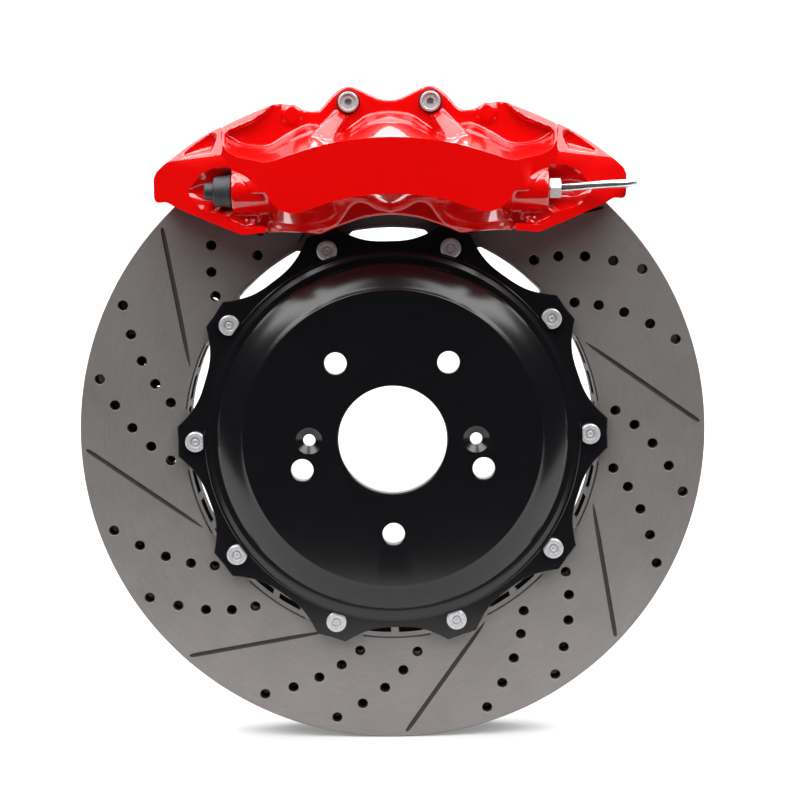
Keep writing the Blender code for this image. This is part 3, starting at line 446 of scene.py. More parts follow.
for name, node in nodes.items():
    node.data.materials.clear()
    node.data.materials.append(finishes[slotOf[name]])
print("finishes made")


ring = {
    "inner": 126 * mm, "segments": 240, "edge": 0.5 * mm, "innerEdge": 1.0 * mm,
    "vent": 12 * mm, "vanes": 40, "vaneThickness": 4.6 * mm, "vaneLean": 9.0,
    "hole": 3.0 * mm, "holeSteps": (0.0, 4.7, 9.3, 13.6, 17.5), "holeEdge": 9.2 * mm, "holePitch": 11.15 * mm,
    "rowTurns": (16.4, 31.4), "holeSink": 0.35 * mm, "holeStagger": 2.6,
    "slots": 8, "slotStart": 2.0, "slotTurn": 24.0, "slotWidth": 2.7 * mm, "slotDepth": 1.1 * mm,
    "slotEnd": 3 * mm,
    "bolts": 10, "boltPhase": 72.6, "boltCircle": 119 * mm, "boltHole": 3.3 * mm,
    "tabThickness": 8 * mm, "tabHalf": 8.5 * mm,
}


def boltTurns():
    return [ring["boltPhase"] + i * 360 / ring["bolts"] for i in range(ring["bolts"])]


def boltCentres(y=0.0):
    return [polar(ring["boltCircle"], turn, y) for turn in boltTurns()]


def tabBlock(i):
    # a tab with a round nose and hollow, flared roots
    turn = Matrix.Rotation(-math.radians(boltTurns()[i]), 3, "Y")
    half, circle = ring["tabHalf"], ring["boltCircle"]
    root = ((130, 25), (127, 23), (125.6, 20), (124, 16.2), (121.6, 12.6), (118.6, 10), (115.5, 8.4))
    side = [(r * mm, w * mm) for r, w in root]
    side += [(circle - half * 0.72, half * 0.76), (circle - half * 0.93, half * 0.42)]
    outline = side + [(circle - half, 0)] + [(r, -w) for r, w in reversed(side)]
    near = [turn @ Vector((r, discFront + 0.15 * mm, w)) for r, w in outline]
    far = [turn @ Vector((r, discFront + ring["tabThickness"], w)) for r, w in outline]
    return loft(f"tab{i}", near, far)


def ventChannel(i):
    middleTurn = (i + 0.5) * 360 / ring["vanes"]
    outline = []
    stations = [ring["inner"] - 2 * mm + k * (discRadius - ring["inner"] + 4 * mm) / 4 for k in range(5)]
    for hand, order in ((1, stations), (-1, stations[::-1])):
        for reach in order:
            lean = ring["vaneLean"] * (reach - ring["inner"]) / (discRadius - ring["inner"])
            half = 180 / ring["vanes"] - math.degrees(ring["vaneThickness"] / 2 / reach)
            outline.append((reach, middleTurn + lean + hand * half))
    near = [polar(r, turn, middle - ring["vent"] / 2) for r, turn in outline]
    far = [polar(r, turn, middle + ring["vent"] / 2) for r, turn in outline]
    return loft(f"vent{i}", near, far)


def faceHoles():
    # each plate is drilled from its own face, the rear pattern a little further round
    tools = []
    sink, depth = ring["holeSink"], (discBack - discFront) / 2
    wide = ring["hole"] + sink
    profile = [(-mm, 0), (-mm, wide + mm), (sink, ring["hole"]), (depth, ring["hole"]), (depth, 0)]
    for row in range(2 * ring["slots"]):
        start = ring["slotStart"] + ring["rowTurns"][row % 2] + (row // 2) * 360 / ring["slots"]
        for step, turn in enumerate(ring["holeSteps"]):
            reach = discRadius - ring["holeEdge"] - step * ring["holePitch"]
            front = polar(reach, start + turn, discFront)
            back = polar(reach, start + turn + ring["holeStagger"], discBack)
            tools.append(lathe("front", profile, 20, front))
            tools.append(lathe("back", profile, 20, back, (0, -1, 0)))
    return gather("holes", tools)


def slotTools():
    # round-bottomed grooves that rise out of the face at each end
    tools = []
    half, deep = ring["slotWidth"] / 2, ring["slotDepth"]
    left = [(-1.0, -0.6), (-1.0, 0.25), (-0.72, 0.8), (-0.25, 1.0)]
    section = left + [(-a, b) for a, b in reversed(left)]
    for i in range(ring["slots"]):
        start = ring["slotStart"] + i * 360 / ring["slots"]
        outer = polar(discRadius - ring["slotEnd"], start)
        inner = polar(ring["inner"] + ring["slotEnd"], start + ring["slotTurn"])
        along = (inner - outer).normalized()
        across = along.cross(Vector((0, 1, 0)))
        length = (inner - outer).length
        shares = ((0, 0.1), (0.6, 0.55), (1.6, 0.8), (4, 0.95), (8, 1.0))
        stations = [(at * mm, share) for at, share in shares]
        shares = ((26, 1.0), (14, 0.85), (6, 0.6), (0, 0.08))
        stations += [(length - back * mm, share) for back, share in shares]
        for face, hand in ((discFront, 1), (discBack, -1)):
            loops = []
            for at, share in stations:
                centre = outer + along * at + Vector((0, face, 0))
                sunk = [hand * deep * (share if b > 0 else 1) * b for _, b in section]
                loops.append([
                    centre + across * half * share * a + Vector((0, y, 0)) for (a, _), y in zip(section, sunk)
                ])
            tools.append(loft(f"slot{i}", *loops))
    return gather("slots", tools)


def makeRing():
    low, high, inner, outer = discFront, discBack, ring["inner"], discRadius
    edge, wide = ring["edge"], ring["innerEdge"]
    profile = [
        (low, inner + wide), (low, outer - edge), (low + edge, outer), (high - edge, outer),
        (high, outer - edge), (high, inner + wide), (high - wide, inner), (low + wide, inner),
        (low, inner + wide),
    ]
    disc = lathe("friction_ring", profile, ring["segments"])
    weld(disc, gather("tabs", [tabBlock(i) for i in range(ring["bolts"])]))
    carve(disc, gather("vents", [ventChannel(i) for i in range(ring["vanes"])]))
    carve(disc, faceHoles())
    carve(disc, slotTools())
    tools = [drill(f"tabHole{i}", ring["boltHole"], -5 * mm, 30 * mm, c) for i, c in enumerate(boltCentres())]
    carve(disc, gather("tabHoles", tools))
    return finished(disc, "ground_iron", ["rotor_ring"], 30)


makeRing()


hat = {
    "wall": 7 * mm, "face": 90 * mm, "cone": 105.6 * mm, "step": 113.7 * mm, "bore": 32.5 * mm, "turns": 36,
    "studCircle": 57.15 * mm, "studHole": 6.65 * mm, "studs": 5,
    "screwCircle": 50 * mm, "screwHole": 3.65 * mm, "screwSink": (3 * mm, 8.0 * mm),
    "flange": 6.5 * mm, "lobe": 11.3 * mm, "scallop": 1 * mm, "scallopPower": 2.6, "lobeCorner": 4.0,
}
flangeBack = hatHigh.y
flangeFront = flangeBack - hat["flange"]
hatFace = hatLow.y


def lobeRadius(turn):
    corner, low = ring["boltCircle"] + hat["lobe"], ring["boltCircle"] - hat["scallop"]
    away = (abs(turn) - hat["lobeCorner"]) / (180 / ring["bolts"] - hat["lobeCorner"])
    if away <= 0:
        return corner - 0.6 * mm * (1 - abs(turn) / hat["lobeCorner"])
    return low + (corner - low) * (1 - away) ** hat["scallopPower"]


def hatProfile():
    # (radius, distance along the axis) from the bore over the front to the step beside the bolts
    edge, face, cone, step = 0.7 * mm, hat["face"], hat["cone"], hat["step"]
    foot = flangeFront - 2.5 * mm
    out = [
        (hat["bore"], 0.0), (hat["bore"], hatFace + edge), (hat["bore"] + edge, hatFace),
        (face - 1.0 * mm, hatFace), (face - 0.4 * mm, hatFace + 0.1 * mm),
        (face + 0.1 * mm, hatFace + 0.4 * mm),
        (face + 0.6 * mm, hatFace + 0.8 * mm),
    ]
    for k in range(1, 8):  # the cone bows out a little
        share = k / 8
        bow = 0.5 * mm * math.sin(math.pi * share)
        out.append((face + 0.6 * mm + (cone - face - 0.6 * mm) * share + bow / 2,
                    hatFace + 0.8 * mm + (foot - hatFace - 0.8 * mm) * share - bow))
    out += [
        (cone, foot), (cone + 0.3 * mm, foot + 0.5 * mm), (cone + 0.9 * mm, foot + 0.5 * mm),
        (cone + 3.2 * mm, foot + 0.5 * mm), (cone + 3.7 * mm, foot + 0.62 * mm),
        (cone + 6.0 * mm, foot + 1.6 * mm),
        (cone + 6.5 * mm, foot + 1.7 * mm), (step - 0.4 * mm, foot + 1.7 * mm), (step, foot + 1.95 * mm),
        (step + 0.15 * mm, flangeFront), (step + 0.8 * mm, flangeFront),
    ]
    return out


def makeHat():
    # the round part is a turned profile; the rim outside the step follows the lobes
    perBolt = hat["turns"]
    count = perBolt * ring["bolts"]
    steps = [(i % perBolt) / perBolt * 36 - 18 for i in range(count)]
    turns = [boltTurns()[i // perBolt] + steps[i] for i in range(count)]
    edge, face, step = 0.6 * mm, hat["face"], hat["step"]
    lobes = [(-edge, flangeFront), (0.0, flangeFront + edge), (0.0, flangeBack - edge), (-edge, flangeBack)]
    inside = [
        (step - 4 * mm, flangeBack), (step - 5 * mm, flangeBack - mm),
        (face - hat["wall"] + 2 * mm, 1.5 * mm),
        (face - hat["wall"], 0.0), (hat["bore"] + mm, 0.0),
    ]
    loops = [[polar(r, turn, y) for turn in turns] for r, y in hatProfile()]
    loops += [[polar(lobeRadius(steps[i]) + inset, turns[i], y) for i in range(count)] for inset, y in lobes]
    loops += [[polar(r, turn, y) for turn in turns] for r, y in inside]
    faces = []
    for row in range(len(loops)):
        below = (row + 1) % len(loops)
        for i in range(count):
            j = (i + 1) % count
            faces.append((row * count + i, row * count + j, below * count + j, below * count + i))
    bell = asObject("bell_hat", [point for loop in loops for point in loop], [], faces)
    inEditMode(bell)
    tidyShell()
    tools = []
    for i, centre in enumerate(boltCentres()):
        tools.append(drill(f"hatHole{i}", ring["boltHole"], -5 * mm, 30 * mm, centre, steps=32))
    deep, stud = hat["wall"] + 2 * mm, hat["studHole"]
    profile = [(-mm, 0), (-mm, stud + 1.5 * mm), (0.5 * mm, stud), (deep, stud), (deep, 0)]
    for i in range(hat["studs"]):
        centre = polar(hat["studCircle"], 270 + i * 360 / hat["studs"], hatFace)
        tools.append(lathe(f"stud{i}", profile, 48, centre))
    sink, wide = hat["screwSink"]
    slope = (wide - hat["screwHole"]) / sink
    hole = hat["screwHole"]
    profile = [(-mm, 0), (-mm, wide + slope * mm), (sink, hole), (deep, hole), (deep, 0)]
    for turn in (0, 180):
        tools.append(lathe(f"screw{turn}", profile, 40, polar(hat["screwCircle"], turn, hatFace)))
    carve(bell, gather("hatHoles", tools))
    return finished(bell, "black_anodised", ["rotor_hat"], 28)


makeHat()


bolt = {"head": 6.05, "flat": 4.5, "shank": 2.95, "front": 0.4, "under": 3.9, "end": 25.8}
nut = {"flats": 10.0, "front": 19.3, "back": 24.3, "hole": 3.0}


def makeHatBolt():
    # modelled at the top of the bolt circle, to be turned to its place
    head, front, under, shank, end = (bolt[key] for key in ("head", "front", "under", "shank", "end"))
    profile = [
        (front + 1.0, 0), (front + 1.0, 0.6), (front + 0.45, 1.0), (front + 0.3, 1.5), (front + 0.5, 2.0),
        (front + 1.1, 2.25), (front + 1.1, 2.85), (front + 0.12, 3.0), (front, 3.2), (front, head - 0.75),
        (front + 0.12, head - 0.4), (front + 0.5, head), (under - 0.3, head), (under, head - 0.3),
        (under, shank), (end - 0.5, shank), (end, shank - 0.5), (end, 0),
    ]
    centre = Vector((0, 0, ring["boltCircle"]))
    piece = lathe("hat_bolt", [(y * mm, r * mm) for y, r in profile], 48, centre)
    low = ring["boltCircle"] - bolt["flat"] * mm
    square = [(-8 * mm, low - 9 * mm), (8 * mm, low - 9 * mm), (8 * mm, low), (-8 * mm, low)]
    carve(piece, loft("flat", *[[(x, y * mm, z) for x, z in square] for y in (front - 2, under)]))
    return piece


def makeHexagon(name, flats, front, back, hole, centre, along=(0, 1, 0)):
    # a six-sided nut with turned corners and a countersunk hole
    corner = flats / math.sqrt(3)
    half = flats / 2
    along = Vector(along)
    chamfer, upright = 0.7, Vector((0, 0, 1))
    loops = []
    for distance in (front, back):
        spokes = [Matrix.Rotation(math.radians(30 + 60 * k), 3, along) @ upright for k in range(6)]
        loops.append([centre + along * distance * mm + spoke * corner * mm for spoke in spokes])
    piece = loft(name, *loops)
    rise = (corner - half + 0.15) * 0.55
    profile = [
        (front, 0), (front, half - 0.15), (front + rise, corner), (back - rise, corner),
        (back, half - 0.15), (back, 0),
    ]
    carve(piece, lathe("corners", [(y * mm, r * mm) for y, r in profile], 48, centre, along), "INTERSECT")
    profile = [
        (front - 1, 0), (front - 1, hole + 1.6), (front + chamfer, hole), (back - chamfer, hole),
        (back + 1, hole + 1.6), (back + 1, 0),
    ]
    carve(piece, lathe("hole", [(y * mm, r * mm) for y, r in profile], 32, centre, along))
    return piece


def makeHatFixings():
    pattern = makeHatBolt()
    for i, turn in enumerate(boltTurns()):
        piece = twin(pattern, f"hat_bolt_fine_{i + 1:02d}")
        turned(piece, turn - 90)
        finished(piece, "zinc_plated", [nearest("hat_bolt", piece)], 32)
    bpy.data.objects.remove(pattern)
    for i, centre in enumerate(boltCentres()):
        piece = makeHexagon(f"hat_nut_fine_{i + 1:02d}", *nut.values(), centre)
        finished(piece, "zinc_plated", [nearest("hat_nut", piece)], 32)


makeHatFixings()


gap = 0.3 * mm
caliper = {
    "length": 137.7 * mm, "window": 36.5 * mm, "lobe": 45 * mm, "panel": 74 * mm,
    "panelHalf": 70 * mm, "endDepth": 38 * mm, "spare": 1.6 * mm,
    "voxel": 0.95 * mm, "smooth": 4, "keep": 0.5,
    "rimRoom": 3.5 * mm, "faceRoom": 19.5 * mm, "windowHalf": 77.1 * mm,
    "overRim": 9.2 * mm, "bolts": (90 * mm, 124 * mm), "screws": 23.5 * mm, "pins": 56 * mm,
    "portX": 89.5 * mm, "portDepth": 58 * mm, "portDrop": 17.4 * mm, "portBoss": 12.3 * mm,
    "pistonDrop": 29 * mm,
    "pistons": ((-56 * mm, 16 * mm), (0.0, 17.5 * mm), (56 * mm, 16 * mm)),
    "ringBoss": (80.3 * mm, 133.8 * mm, 5.6 * mm, 3.9 * mm, 56.2 * mm),
    "ear": (76 * mm, -48 * mm), "earRadius": 12 * mm, "earHole": 5.2, "hose": (28 * mm, -27.6 * mm),
}
# x and the distance from the disc's rim, in millimetres, for x >= 0
bodyEdge = (
    (0, 9), (6.2, 10.3), (17.6, 16.2), (23.5, 18.4), (29.2, 17.1), (34.7, 12.9), (40, 8.2), (44.6, 8.2),
    (49.2, 10.3), (54.7, 14), (64, 17.8), (71, 18.2), (78, 18.2), (92, 18.5), (106.5, 19.3), (121, 19.6),
    (135.8, 19.5), (135.8, 19.5), (137.7, 17.9), (137.7, 17.9), (137.7, 9.2), (137.7, 9.2), (135.6, 6.1),
    (129.7, 2.2), (123, -4.8), (103.3, -23.7), (84, -41.1), (84, -41.1), (41, -60.8), (41, -60.8),
    (28, -59.2), (15.7, -57.1), (0, -56.3),
)
upperFloor = (
    (0, 2.3), (11.4, 0.8), (18.7, -3.3), (28, -8.3), (36, -4.5), (44, 0.6), (51, 0.5), (58, -0.9),
    (68, -3.2), (77, -0.2), (85, 4.3), (91, 9.9), (94.0, 12.4), (91.5, 14.0), (78, 13.3), (70, 15.5),
    (65.5, 18.6), (61, 24), (0, 34),
)
upperFront = (
    (0, -13.3), (9, -13.4), (17, -13.5), (26, -13.5), (35, -13.5), (43, -13.6), (50, -13.8), (57, -13.8),
    (68, -13.1), (77, -9.2), (86, -4.7), (94.5, 2.5), (95.2, 12.8), (92, 14.5), (78, 13.9), (70.4, 16.1),
    (66, 19.2), (61.5, 24.5), (0, 34),
)
lowerFloor = (
    (0, -54.2), (7.5, -52.5), (13, -48.6), (18, -47), (22.8, -48.6), (28.2, -55.3), (34, -58.5),
    (48, -56.6), (58, -53.1), (65.5, -48.6), (70, -45), (70, -72), (0, -72),
)
lowerFront = (
    (0, -44.9), (7, -44.9), (14, -45), (22.3, -45), (30, -45.2), (38, -45.5), (45, -45.9),
    (52, -45.4), (58.5, -42.5), (64, -37.6), (70, -29.5), (70, -72), (0, -72),
)
# the wall from floor to front, in two stages, as (share of the way, depth)
wallSteps = ((0.0, 45), (0.31, 52.6), (0.4, 53.4), (1.0, 74), (1.25, 81))
# pockets as (x, distance from the rim, depth) on their floor and again on the way out
cornerFloor = (
    (101.9, 17.3, 46), (99.9, 15.6, 46), (99.6, 13, 46), (102.2, 10.2, 46),
    (121.5, 16.8, 44.5), (112, 17.7, 46),
)
cornerMouth = (
    (101.9, 17.7, 62), (99.6, 15.8, 62), (99.1, 11, 62), (101.4, 6.2, 62),
    (123.5, 14.6, 60), (112, 18.1, 62),
)
bossFloor = (
    (66.2, -46.3, 51), (69.5, -36.5, 52.2), (72.8, -27.3, 53.5), (81, -22.6, 56.4), (89.5, -18.4, 59.4),
    (95.5, -24.5, 62), (91, -31, 60), (84, -37.4, 57.5),
)
bossMouth = (
    (63.5, -46.3, 78), (63.8, -37.4, 78), (70, -26.5, 78), (81, -21.5, 78), (89.5, -17.5, 78),
    (97.5, -23, 78), (92.5, -31.5, 78), (84, -38.4, 78),
)
# the trough in front of a port: x, depth of its floor, half height of its mouth
trough = (
    (0, 47.3, 13.6), (7.5, 47.3, 12.9), (14.5, 47.3, 11.7), (19.5, 47.6, 9.8),
    (23.5, 48.2, 7.6), (28, 49.6, 4.5),
)
gussetTip = (26.9, 3.3)
gussetFeet = ((43.8, -4.7, 56), (32.1, -10.4, 63))
bevelPlane = ((97, 4, 59.5), (122.5, 16.1, 46), (97, 19.8, 47))
coneSection = ((44, 20.1), (53, 11.1), (84, 11.1), (84, 40), (44, 40))  # (depth, distance from the rim)


def rimPoint(x, offset):
    return x, math.sqrt((discRadius + offset) ** 2 - x * x)


def atDepth(side, x, depth, z):
    return Vector((x, middle - side * depth, z))


def mirrored(points):
    line = [rimPoint(x * mm, offset * mm) for x, offset in points]
    return line + [(-x, z) for x, z in reversed(line) if x > 1e-6]


def rounded(points, curved):
    # the first stretch of an outline as a curve, the rest with its corners
    return [tuple(p) for p in smoothLine(points[:curved], 4)] + list(points[curved:])


def slab(name, side, outline, low, high):
    return loft(name, *[[atDepth(side, x, depth, z) for x, z in outline] for depth in (low, high)])


def pocketPoint(side, hand, x, offset, depth):
    return atDepth(side, hand * x * mm, depth * mm, rimPoint(x * mm, offset * mm)[1])


def between(first, second, share):
    return [(a + (c - a) * share, b + (d - b) * share) for (a, b), (c, d) in zip(first, second)]


def wedge(name, corners):
    # a prism between two outlines given in order
    count = len(corners) // 2
    return loft(name, corners[:count], corners[count:])


def endTaper(side, hand, spare):
    start, end = caliper["panelHalf"], caliper["length"] + 2 * mm
    slope = (caliper["panel"] - caliper["endDepth"]) / (caliper["length"] - start)
    high = caliper["panel"] + spare
    shape = ((start, high), (start, high + 9 * mm), (end, high + 9 * mm), (end, high - slope * (end - start)))
    return wedge("taper", [atDepth(side, hand * x, depth, z) for z in (0, 0.25) for x, depth in shape])


def shoulderBevel(side, hand):
    front, tip, top = [
        atDepth(side, x * mm, depth * mm, rimPoint(x * mm, offset * mm)[1]) for x, offset, depth in bevelPlane
    ]
    normal = (tip - front).cross(top - front).normalized()
    if normal.z < 0:
        normal.negate()
    along = (tip - front).normalized()
    across = normal.cross(along)
    reach = 80 * mm
    corners = ((-0.035, -1), (1, -1), (1, 1), (-0.035, 1))
    base = [front + reach * (a * along + b * across) for a, b in corners]
    corners = base + [point + normal * reach for point in base]
    return wedge("bevel", [Vector((hand * p.x, p.y, p.z)) for p in corners])


def rimBevel(side, hand):
    # a cone about the wheel's axle along the rim of the big pocket
    loops = []
    for step in range(9):
        turn = math.radians(17.6 + 1.25 * step)
        loops.append([
            (hand * (discRadius + offset * mm) * math.sin(turn), middle - side * depth * mm,
             (discRadius + offset * mm) * math.cos(turn)) for depth, offset in coneSection
        ])
    return loft("rimBevel", *loops)


def portCentre(side, hand):
    z = rimPoint(caliper["portX"], -caliper["portDrop"])[1]
    return atDepth(side, hand * caliper["portX"], caliper["portDepth"], z)


def portBoss(side, hand, radius):
    return drill("boss", radius, 0, 32 * mm, portCentre(side, hand), (-hand, 0, 0), 64)


def scoop(side, hand):
    # a trough with a floor that clears the cap and walls that open towards its mouth
    centre = portCentre(side, hand)
    start = caliper["panelHalf"]
    slope = (caliper["panel"] - caliper["endDepth"]) / (caliper["length"] - start)
    loops = []
    for along, floor, half in trough:
        x = caliper["portX"] + along * mm
        face = (caliper["panel"] - slope * (x - start)) / mm
        foot = min(7.8, half * 0.72)
        rise = (half - foot) / max(face - floor - 3.9, 2.0)
        out = half + 12 * rise
        mouth = max(face, floor + 5.9) + 12
        right = [(0, floor), (foot * 0.58, floor + 1.1), (foot, floor + 3.9), (out, mouth)]
        section = right + [(-z, depth) for z, depth in reversed(right[1:])]
        loops.append([atDepth(side, hand * x, depth * mm, centre.z + z * mm) for z, depth in section])
    return loft("scoop", *loops)


def gusset(side, hand):
    lobe = caliper["lobe"]
    tipX, tipZ = rimPoint(gussetTip[0] * mm, gussetTip[1] * mm)
    feet = [(*rimPoint(x * mm, offset * mm), depth * mm) for x, offset, depth in gussetFeet]
    front = [(x, depth, z) for x, z, depth in feet]
    tip = [(tipX + 3 * mm, lobe + mm, tipZ + 1.5 * mm), (tipX - 3 * mm, lobe + mm, tipZ)]
    back = [(x, lobe - mm, z) for x, _, z in tip] + [(x, lobe - mm, z - mm) for x, _, z in reversed(front)]
    corners = back + tip + [front[1], front[0]]
    return wedge("gusset", [atDepth(side, hand * x, depth, z) for x, depth, z in corners])


def pinBoss(side, hand):
    z = rimPoint(caliper["pins"], caliper["overRim"])[1]
    centre = atDepth(side, hand * caliper["pins"], caliper["lobe"], z)
    profile = [(-2 * mm, 0), (-2 * mm, 6.2 * mm), (0, 6.2 * mm), (1.8 * mm, 5.0 * mm), (1.8 * mm, 0)]
    return lathe("pinBoss", profile, 32, centre, (0, -side, 0))


def ringBoss(side, hand):
    x, z, outer, pit, depth = caliper["ringBoss"]
    profile = [
        (-3, 0), (-3, outer / mm), (1.4, outer / mm - 0.3), (1.9, outer / mm - 1), (1.9, pit / mm),
        (0.6, pit / mm - 0.7), (0.6, 0),
    ]
    centre = atDepth(side, hand * x, depth, z)
    return lathe("ringBoss", [(at * mm, r * mm) for at, r in profile], 40, centre, (0, -side, 0))


def earBlock(side, hand):
    x, z = rimPoint(*caliper["ear"])
    radius = caliper["earRadius"]
    turns = [math.radians(180 + 10 * i) for i in range(19)]
    shape = [(x + radius * math.cos(t), z + radius * math.sin(t)) for t in turns]
    shape += [(x + radius, z + 10.8 * mm), (x - radius, z + 10.8 * mm)]
    return slab("ear", side, [(hand * a, b) for a, b in shape], 40 * mm, 60 * mm)


def castBlank(name, side):
    # the outline as a solid, with the tapered ends, the bevels, the pockets and the waved walls cut
    spare = caliper["spare"]
    edge = mirrored([tuple(p) for p in smoothLine(bodyEdge, 4)])
    half = slab(name, side, edge, gap / 2, caliper["panel"] + spare)
    for hand in (1, -1):
        carve(half, endTaper(side, hand, spare))
        carve(half, shoulderBevel(side, hand))
        carve(half, rimBevel(side, hand))
        for pocket in ((cornerFloor, cornerMouth), (bossFloor, bossMouth)):
            loops = [[pocketPoint(side, hand, *point) for point in outline] for outline in pocket]
            carve(half, loft("pocket", *loops))
    for floor, front, curved in ((upperFloor, upperFront, 13), (lowerFloor, lowerFront, 11)):
        floor, front = mirrored(rounded(floor, curved)), mirrored(rounded(front, curved))
        loops = []
        for share, depth in wallSteps:
            loops.append([atDepth(side, x, depth * mm, z) for x, z in between(floor, front, share)])
        carve(half, loft("wave", *loops))
    return half


def addBosses(half, side):
    for hand in (1, -1):
        weld(half, portBoss(side, hand, caliper["portBoss"]))
        carve(half, scoop(side, hand))
        weld(half, gusset(side, hand))
        weld(half, pinBoss(side, hand))
        weld(half, ringBoss(side, hand))
        if side < 0:
            weld(half, earBlock(side, hand))
    if side < 0:
        weld(half, hoseRod("hose", side, 9 * mm, -6 * mm, 2.5 * mm))


def hoseRod(name, side, radius, start, end):
    x, z = rimPoint(*caliper["hose"])
    return drill(name, radius, start, end, atDepth(side, x, caliper["panel"], z), (0, 1, 0), 40)


def roundCasting(half):
    applyModifier(half, "REMESH", {"mode": "VOXEL", "voxel_size": caliper["voxel"]})
    applyModifier(half, "SMOOTH", {"factor": 0.5, "iterations": caliper["smooth"]})
    applyModifier(half, "DECIMATE", {"ratio": caliper["keep"]})


def faceOff(half, side):
    # the flat front and the tapered ends, cut crisp; the hose boss and the port bosses stand proud
    wide, tall, panel = 0.2, 0.25, caliper["panel"]
    square = ((-wide, 0), (wide, 0), (wide, tall), (-wide, tall))
    trim = slab("front", side, square, panel, panel + 9 * mm)
    if side < 0:
        carve(trim, hoseRod("hoseRoom", side, 9.6 * mm, -5 * mm, 20 * mm))
    carve(half, trim)
    for hand in (1, -1):
        taper = endTaper(side, hand, 0)
        carve(taper, portBoss(side, hand, caliper["portBoss"] + 0.6 * mm))
        carve(half, taper)


def makeHalf(name, side, replaced):
    half = castBlank(name, side)
    addBosses(half, side)
    radius, room = discRadius + caliper["rimRoom"], caliper["faceRoom"]
    profile = [(-2 * mm, 0), (-2 * mm, radius), (room, radius), (room, 0)]
    carve(half, lathe("room", profile, 160, (0, middle, 0), (0, -side, 0)))
    wide, tall = caliper["windowHalf"], 0.25
    square = ((-wide, 0), (wide, 0), (wide, tall), (-wide, tall))
    carve(half, slab("window", side, square, -2 * mm, caliper["window"]))
    roundCasting(half)
    faceOff(half, side)
    machine(half, side)
    return finished(half, "red_paint", replaced, 40)


def machine(half, side):
    # bores, threaded holes and counterbores, cut crisp after the casting is rounded
    outwards = (0, -side, 0)
    lobe, window, panel = caliper["lobe"] / mm, caliper["window"] / mm, caliper["panel"] / mm
    cuts = []

    def across(x, offset, depth=0.0):
        return atDepth(side, x, depth, rimPoint(x, offset)[1])

    for x, radius in caliper["pistons"]:
        bore = radius / mm
        profile = [
            (-2, 0), (-2, bore), (5.5, bore), (5.5, bore + 3), (9, bore + 3), (9, bore),
            (23.5, bore), (23.5, 0),
        ]
        cuts.append((profile, 72, across(x, -caliper["pistonDrop"], caliper["window"]), outwards))
    for hand in (1, -1):
        for x in caliper["bolts"]:
            profile = [(-2, 0), (-2, 5.3), (30, 5.3), (30, 0)]
            if side < 0:
                profile[-1:] = [(30, 8.8), (80, 8.8), (80, 0)]
            cuts.append((profile, 40, across(hand * x, caliper["overRim"]), outwards))
        profile = [
            (30, 0), (30, 4.3), (lobe - 3, 4.3), (lobe - 3, 6.8), (lobe - 0.3, 6.8), (lobe + 0.5, 7.6),
            (60, 7.6), (60, 0),
        ]
        cuts.append((profile, 40, across(hand * caliper["screws"], caliper["overRim"]), outwards))
        end = window + 5 if side > 0 else panel
        profile = [(30, 0), (30, 3.1), (end, 3.1), (end, 0)]
        cuts.append((profile, 24, across(hand * caliper["pins"], caliper["overRim"]), outwards))
        profile = [(-2, 0), (-2, 4.3), (13.5, 4.3), (13.5, 0)]
        cuts.append((profile, 32, portCentre(side, hand), (-hand, 0, 0)))
        if side < 0:
            x, offset = caliper["ear"]
            hole = caliper["earHole"]
            cuts.append(([(35, 0), (35, hole), (65, hole), (65, 0)], 40, across(hand * x, offset), outwards))
    if side < 0:
        profile = [(62.5, 0), (62.5, 4.5), (80, 4.5), (80, 0)]
        cuts.append((profile, 40, across(*caliper["hose"]), outwards))
    for profile, count, centre, along in cuts:
        carve(half, lathe("cut", [(at * mm, r * mm) for at, r in profile], count, centre, along))


makeHalf("outer_half", 1, ["caliper_outer_half"])
makeHalf("inner_half", -1, ["caliper_inner_half"])


bridgeScrew = {"head": 5.9, "shank": 3.9, "height": 6.0, "socket": (2.3, 2.6), "dish": 0.9}
bodyBolt = {"head": 7.85, "shank": 4.9, "height": 9.0, "socket": (4.0, 3.5), "dish": 0.4}


def headedScrew(node, length, centre, outwards, head, shank, height, socket, dish):
    # a round head with a raised rim, a dished middle and a six-sided socket; distances run into the caliper
    profile = [
        (dish, 0), (dish, head - 1.75), (0.15, head - 1.5), (0, head - 1.3), (0, head - 0.5),
        (0.15, head - 0.15),
        (0.5, head), (height - 0.3, head), (height, head - 0.3), (height, shank), (length - 0.6, shank),
        (length, shank - 0.6), (length, 0),
    ]
    along = Vector(outwards) * -1
    piece = lathe(node + "_fine", [(at * mm, r * mm) for at, r in profile], 48, centre, along)
    radius, deep = socket
    spokes = [Matrix.Rotation(math.radians(60 * k), 3, "Y") @ Vector((0, 0, radius * mm)) for k in range(6)]
    loops = [[Vector(centre) + along * at * mm + spoke for spoke in spokes] for at in (-1, dish + deep)]
    carve(piece, loft("socket", *loops))
    return finished(piece, "zinc_plated", [node], 32)


def makeScrews():
    for number, (side, hand) in enumerate(((1, -1), (1, 1), (-1, -1), (-1, 1)), 1):
        node = f"bridge_screw_{number}"
        low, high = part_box(node)
        face = low.y if side > 0 else high.y
        centre = ((low.x + high.x) / 2, face, (low.z + high.z) / 2)
        length = (high.y - low.y) / mm
        headedScrew(node, length, centre, (0, -side, 0), **bridgeScrew)
    for number in range(1, 5):
        node = f"body_bolt_{number}"
        low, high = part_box(node)
        centre = ((low.x + high.x) / 2, high.y, (low.z + high.z) / 2)
        headedScrew(node, (high.y - low.y) / mm, centre, (0, 1, 0), **bodyBolt)


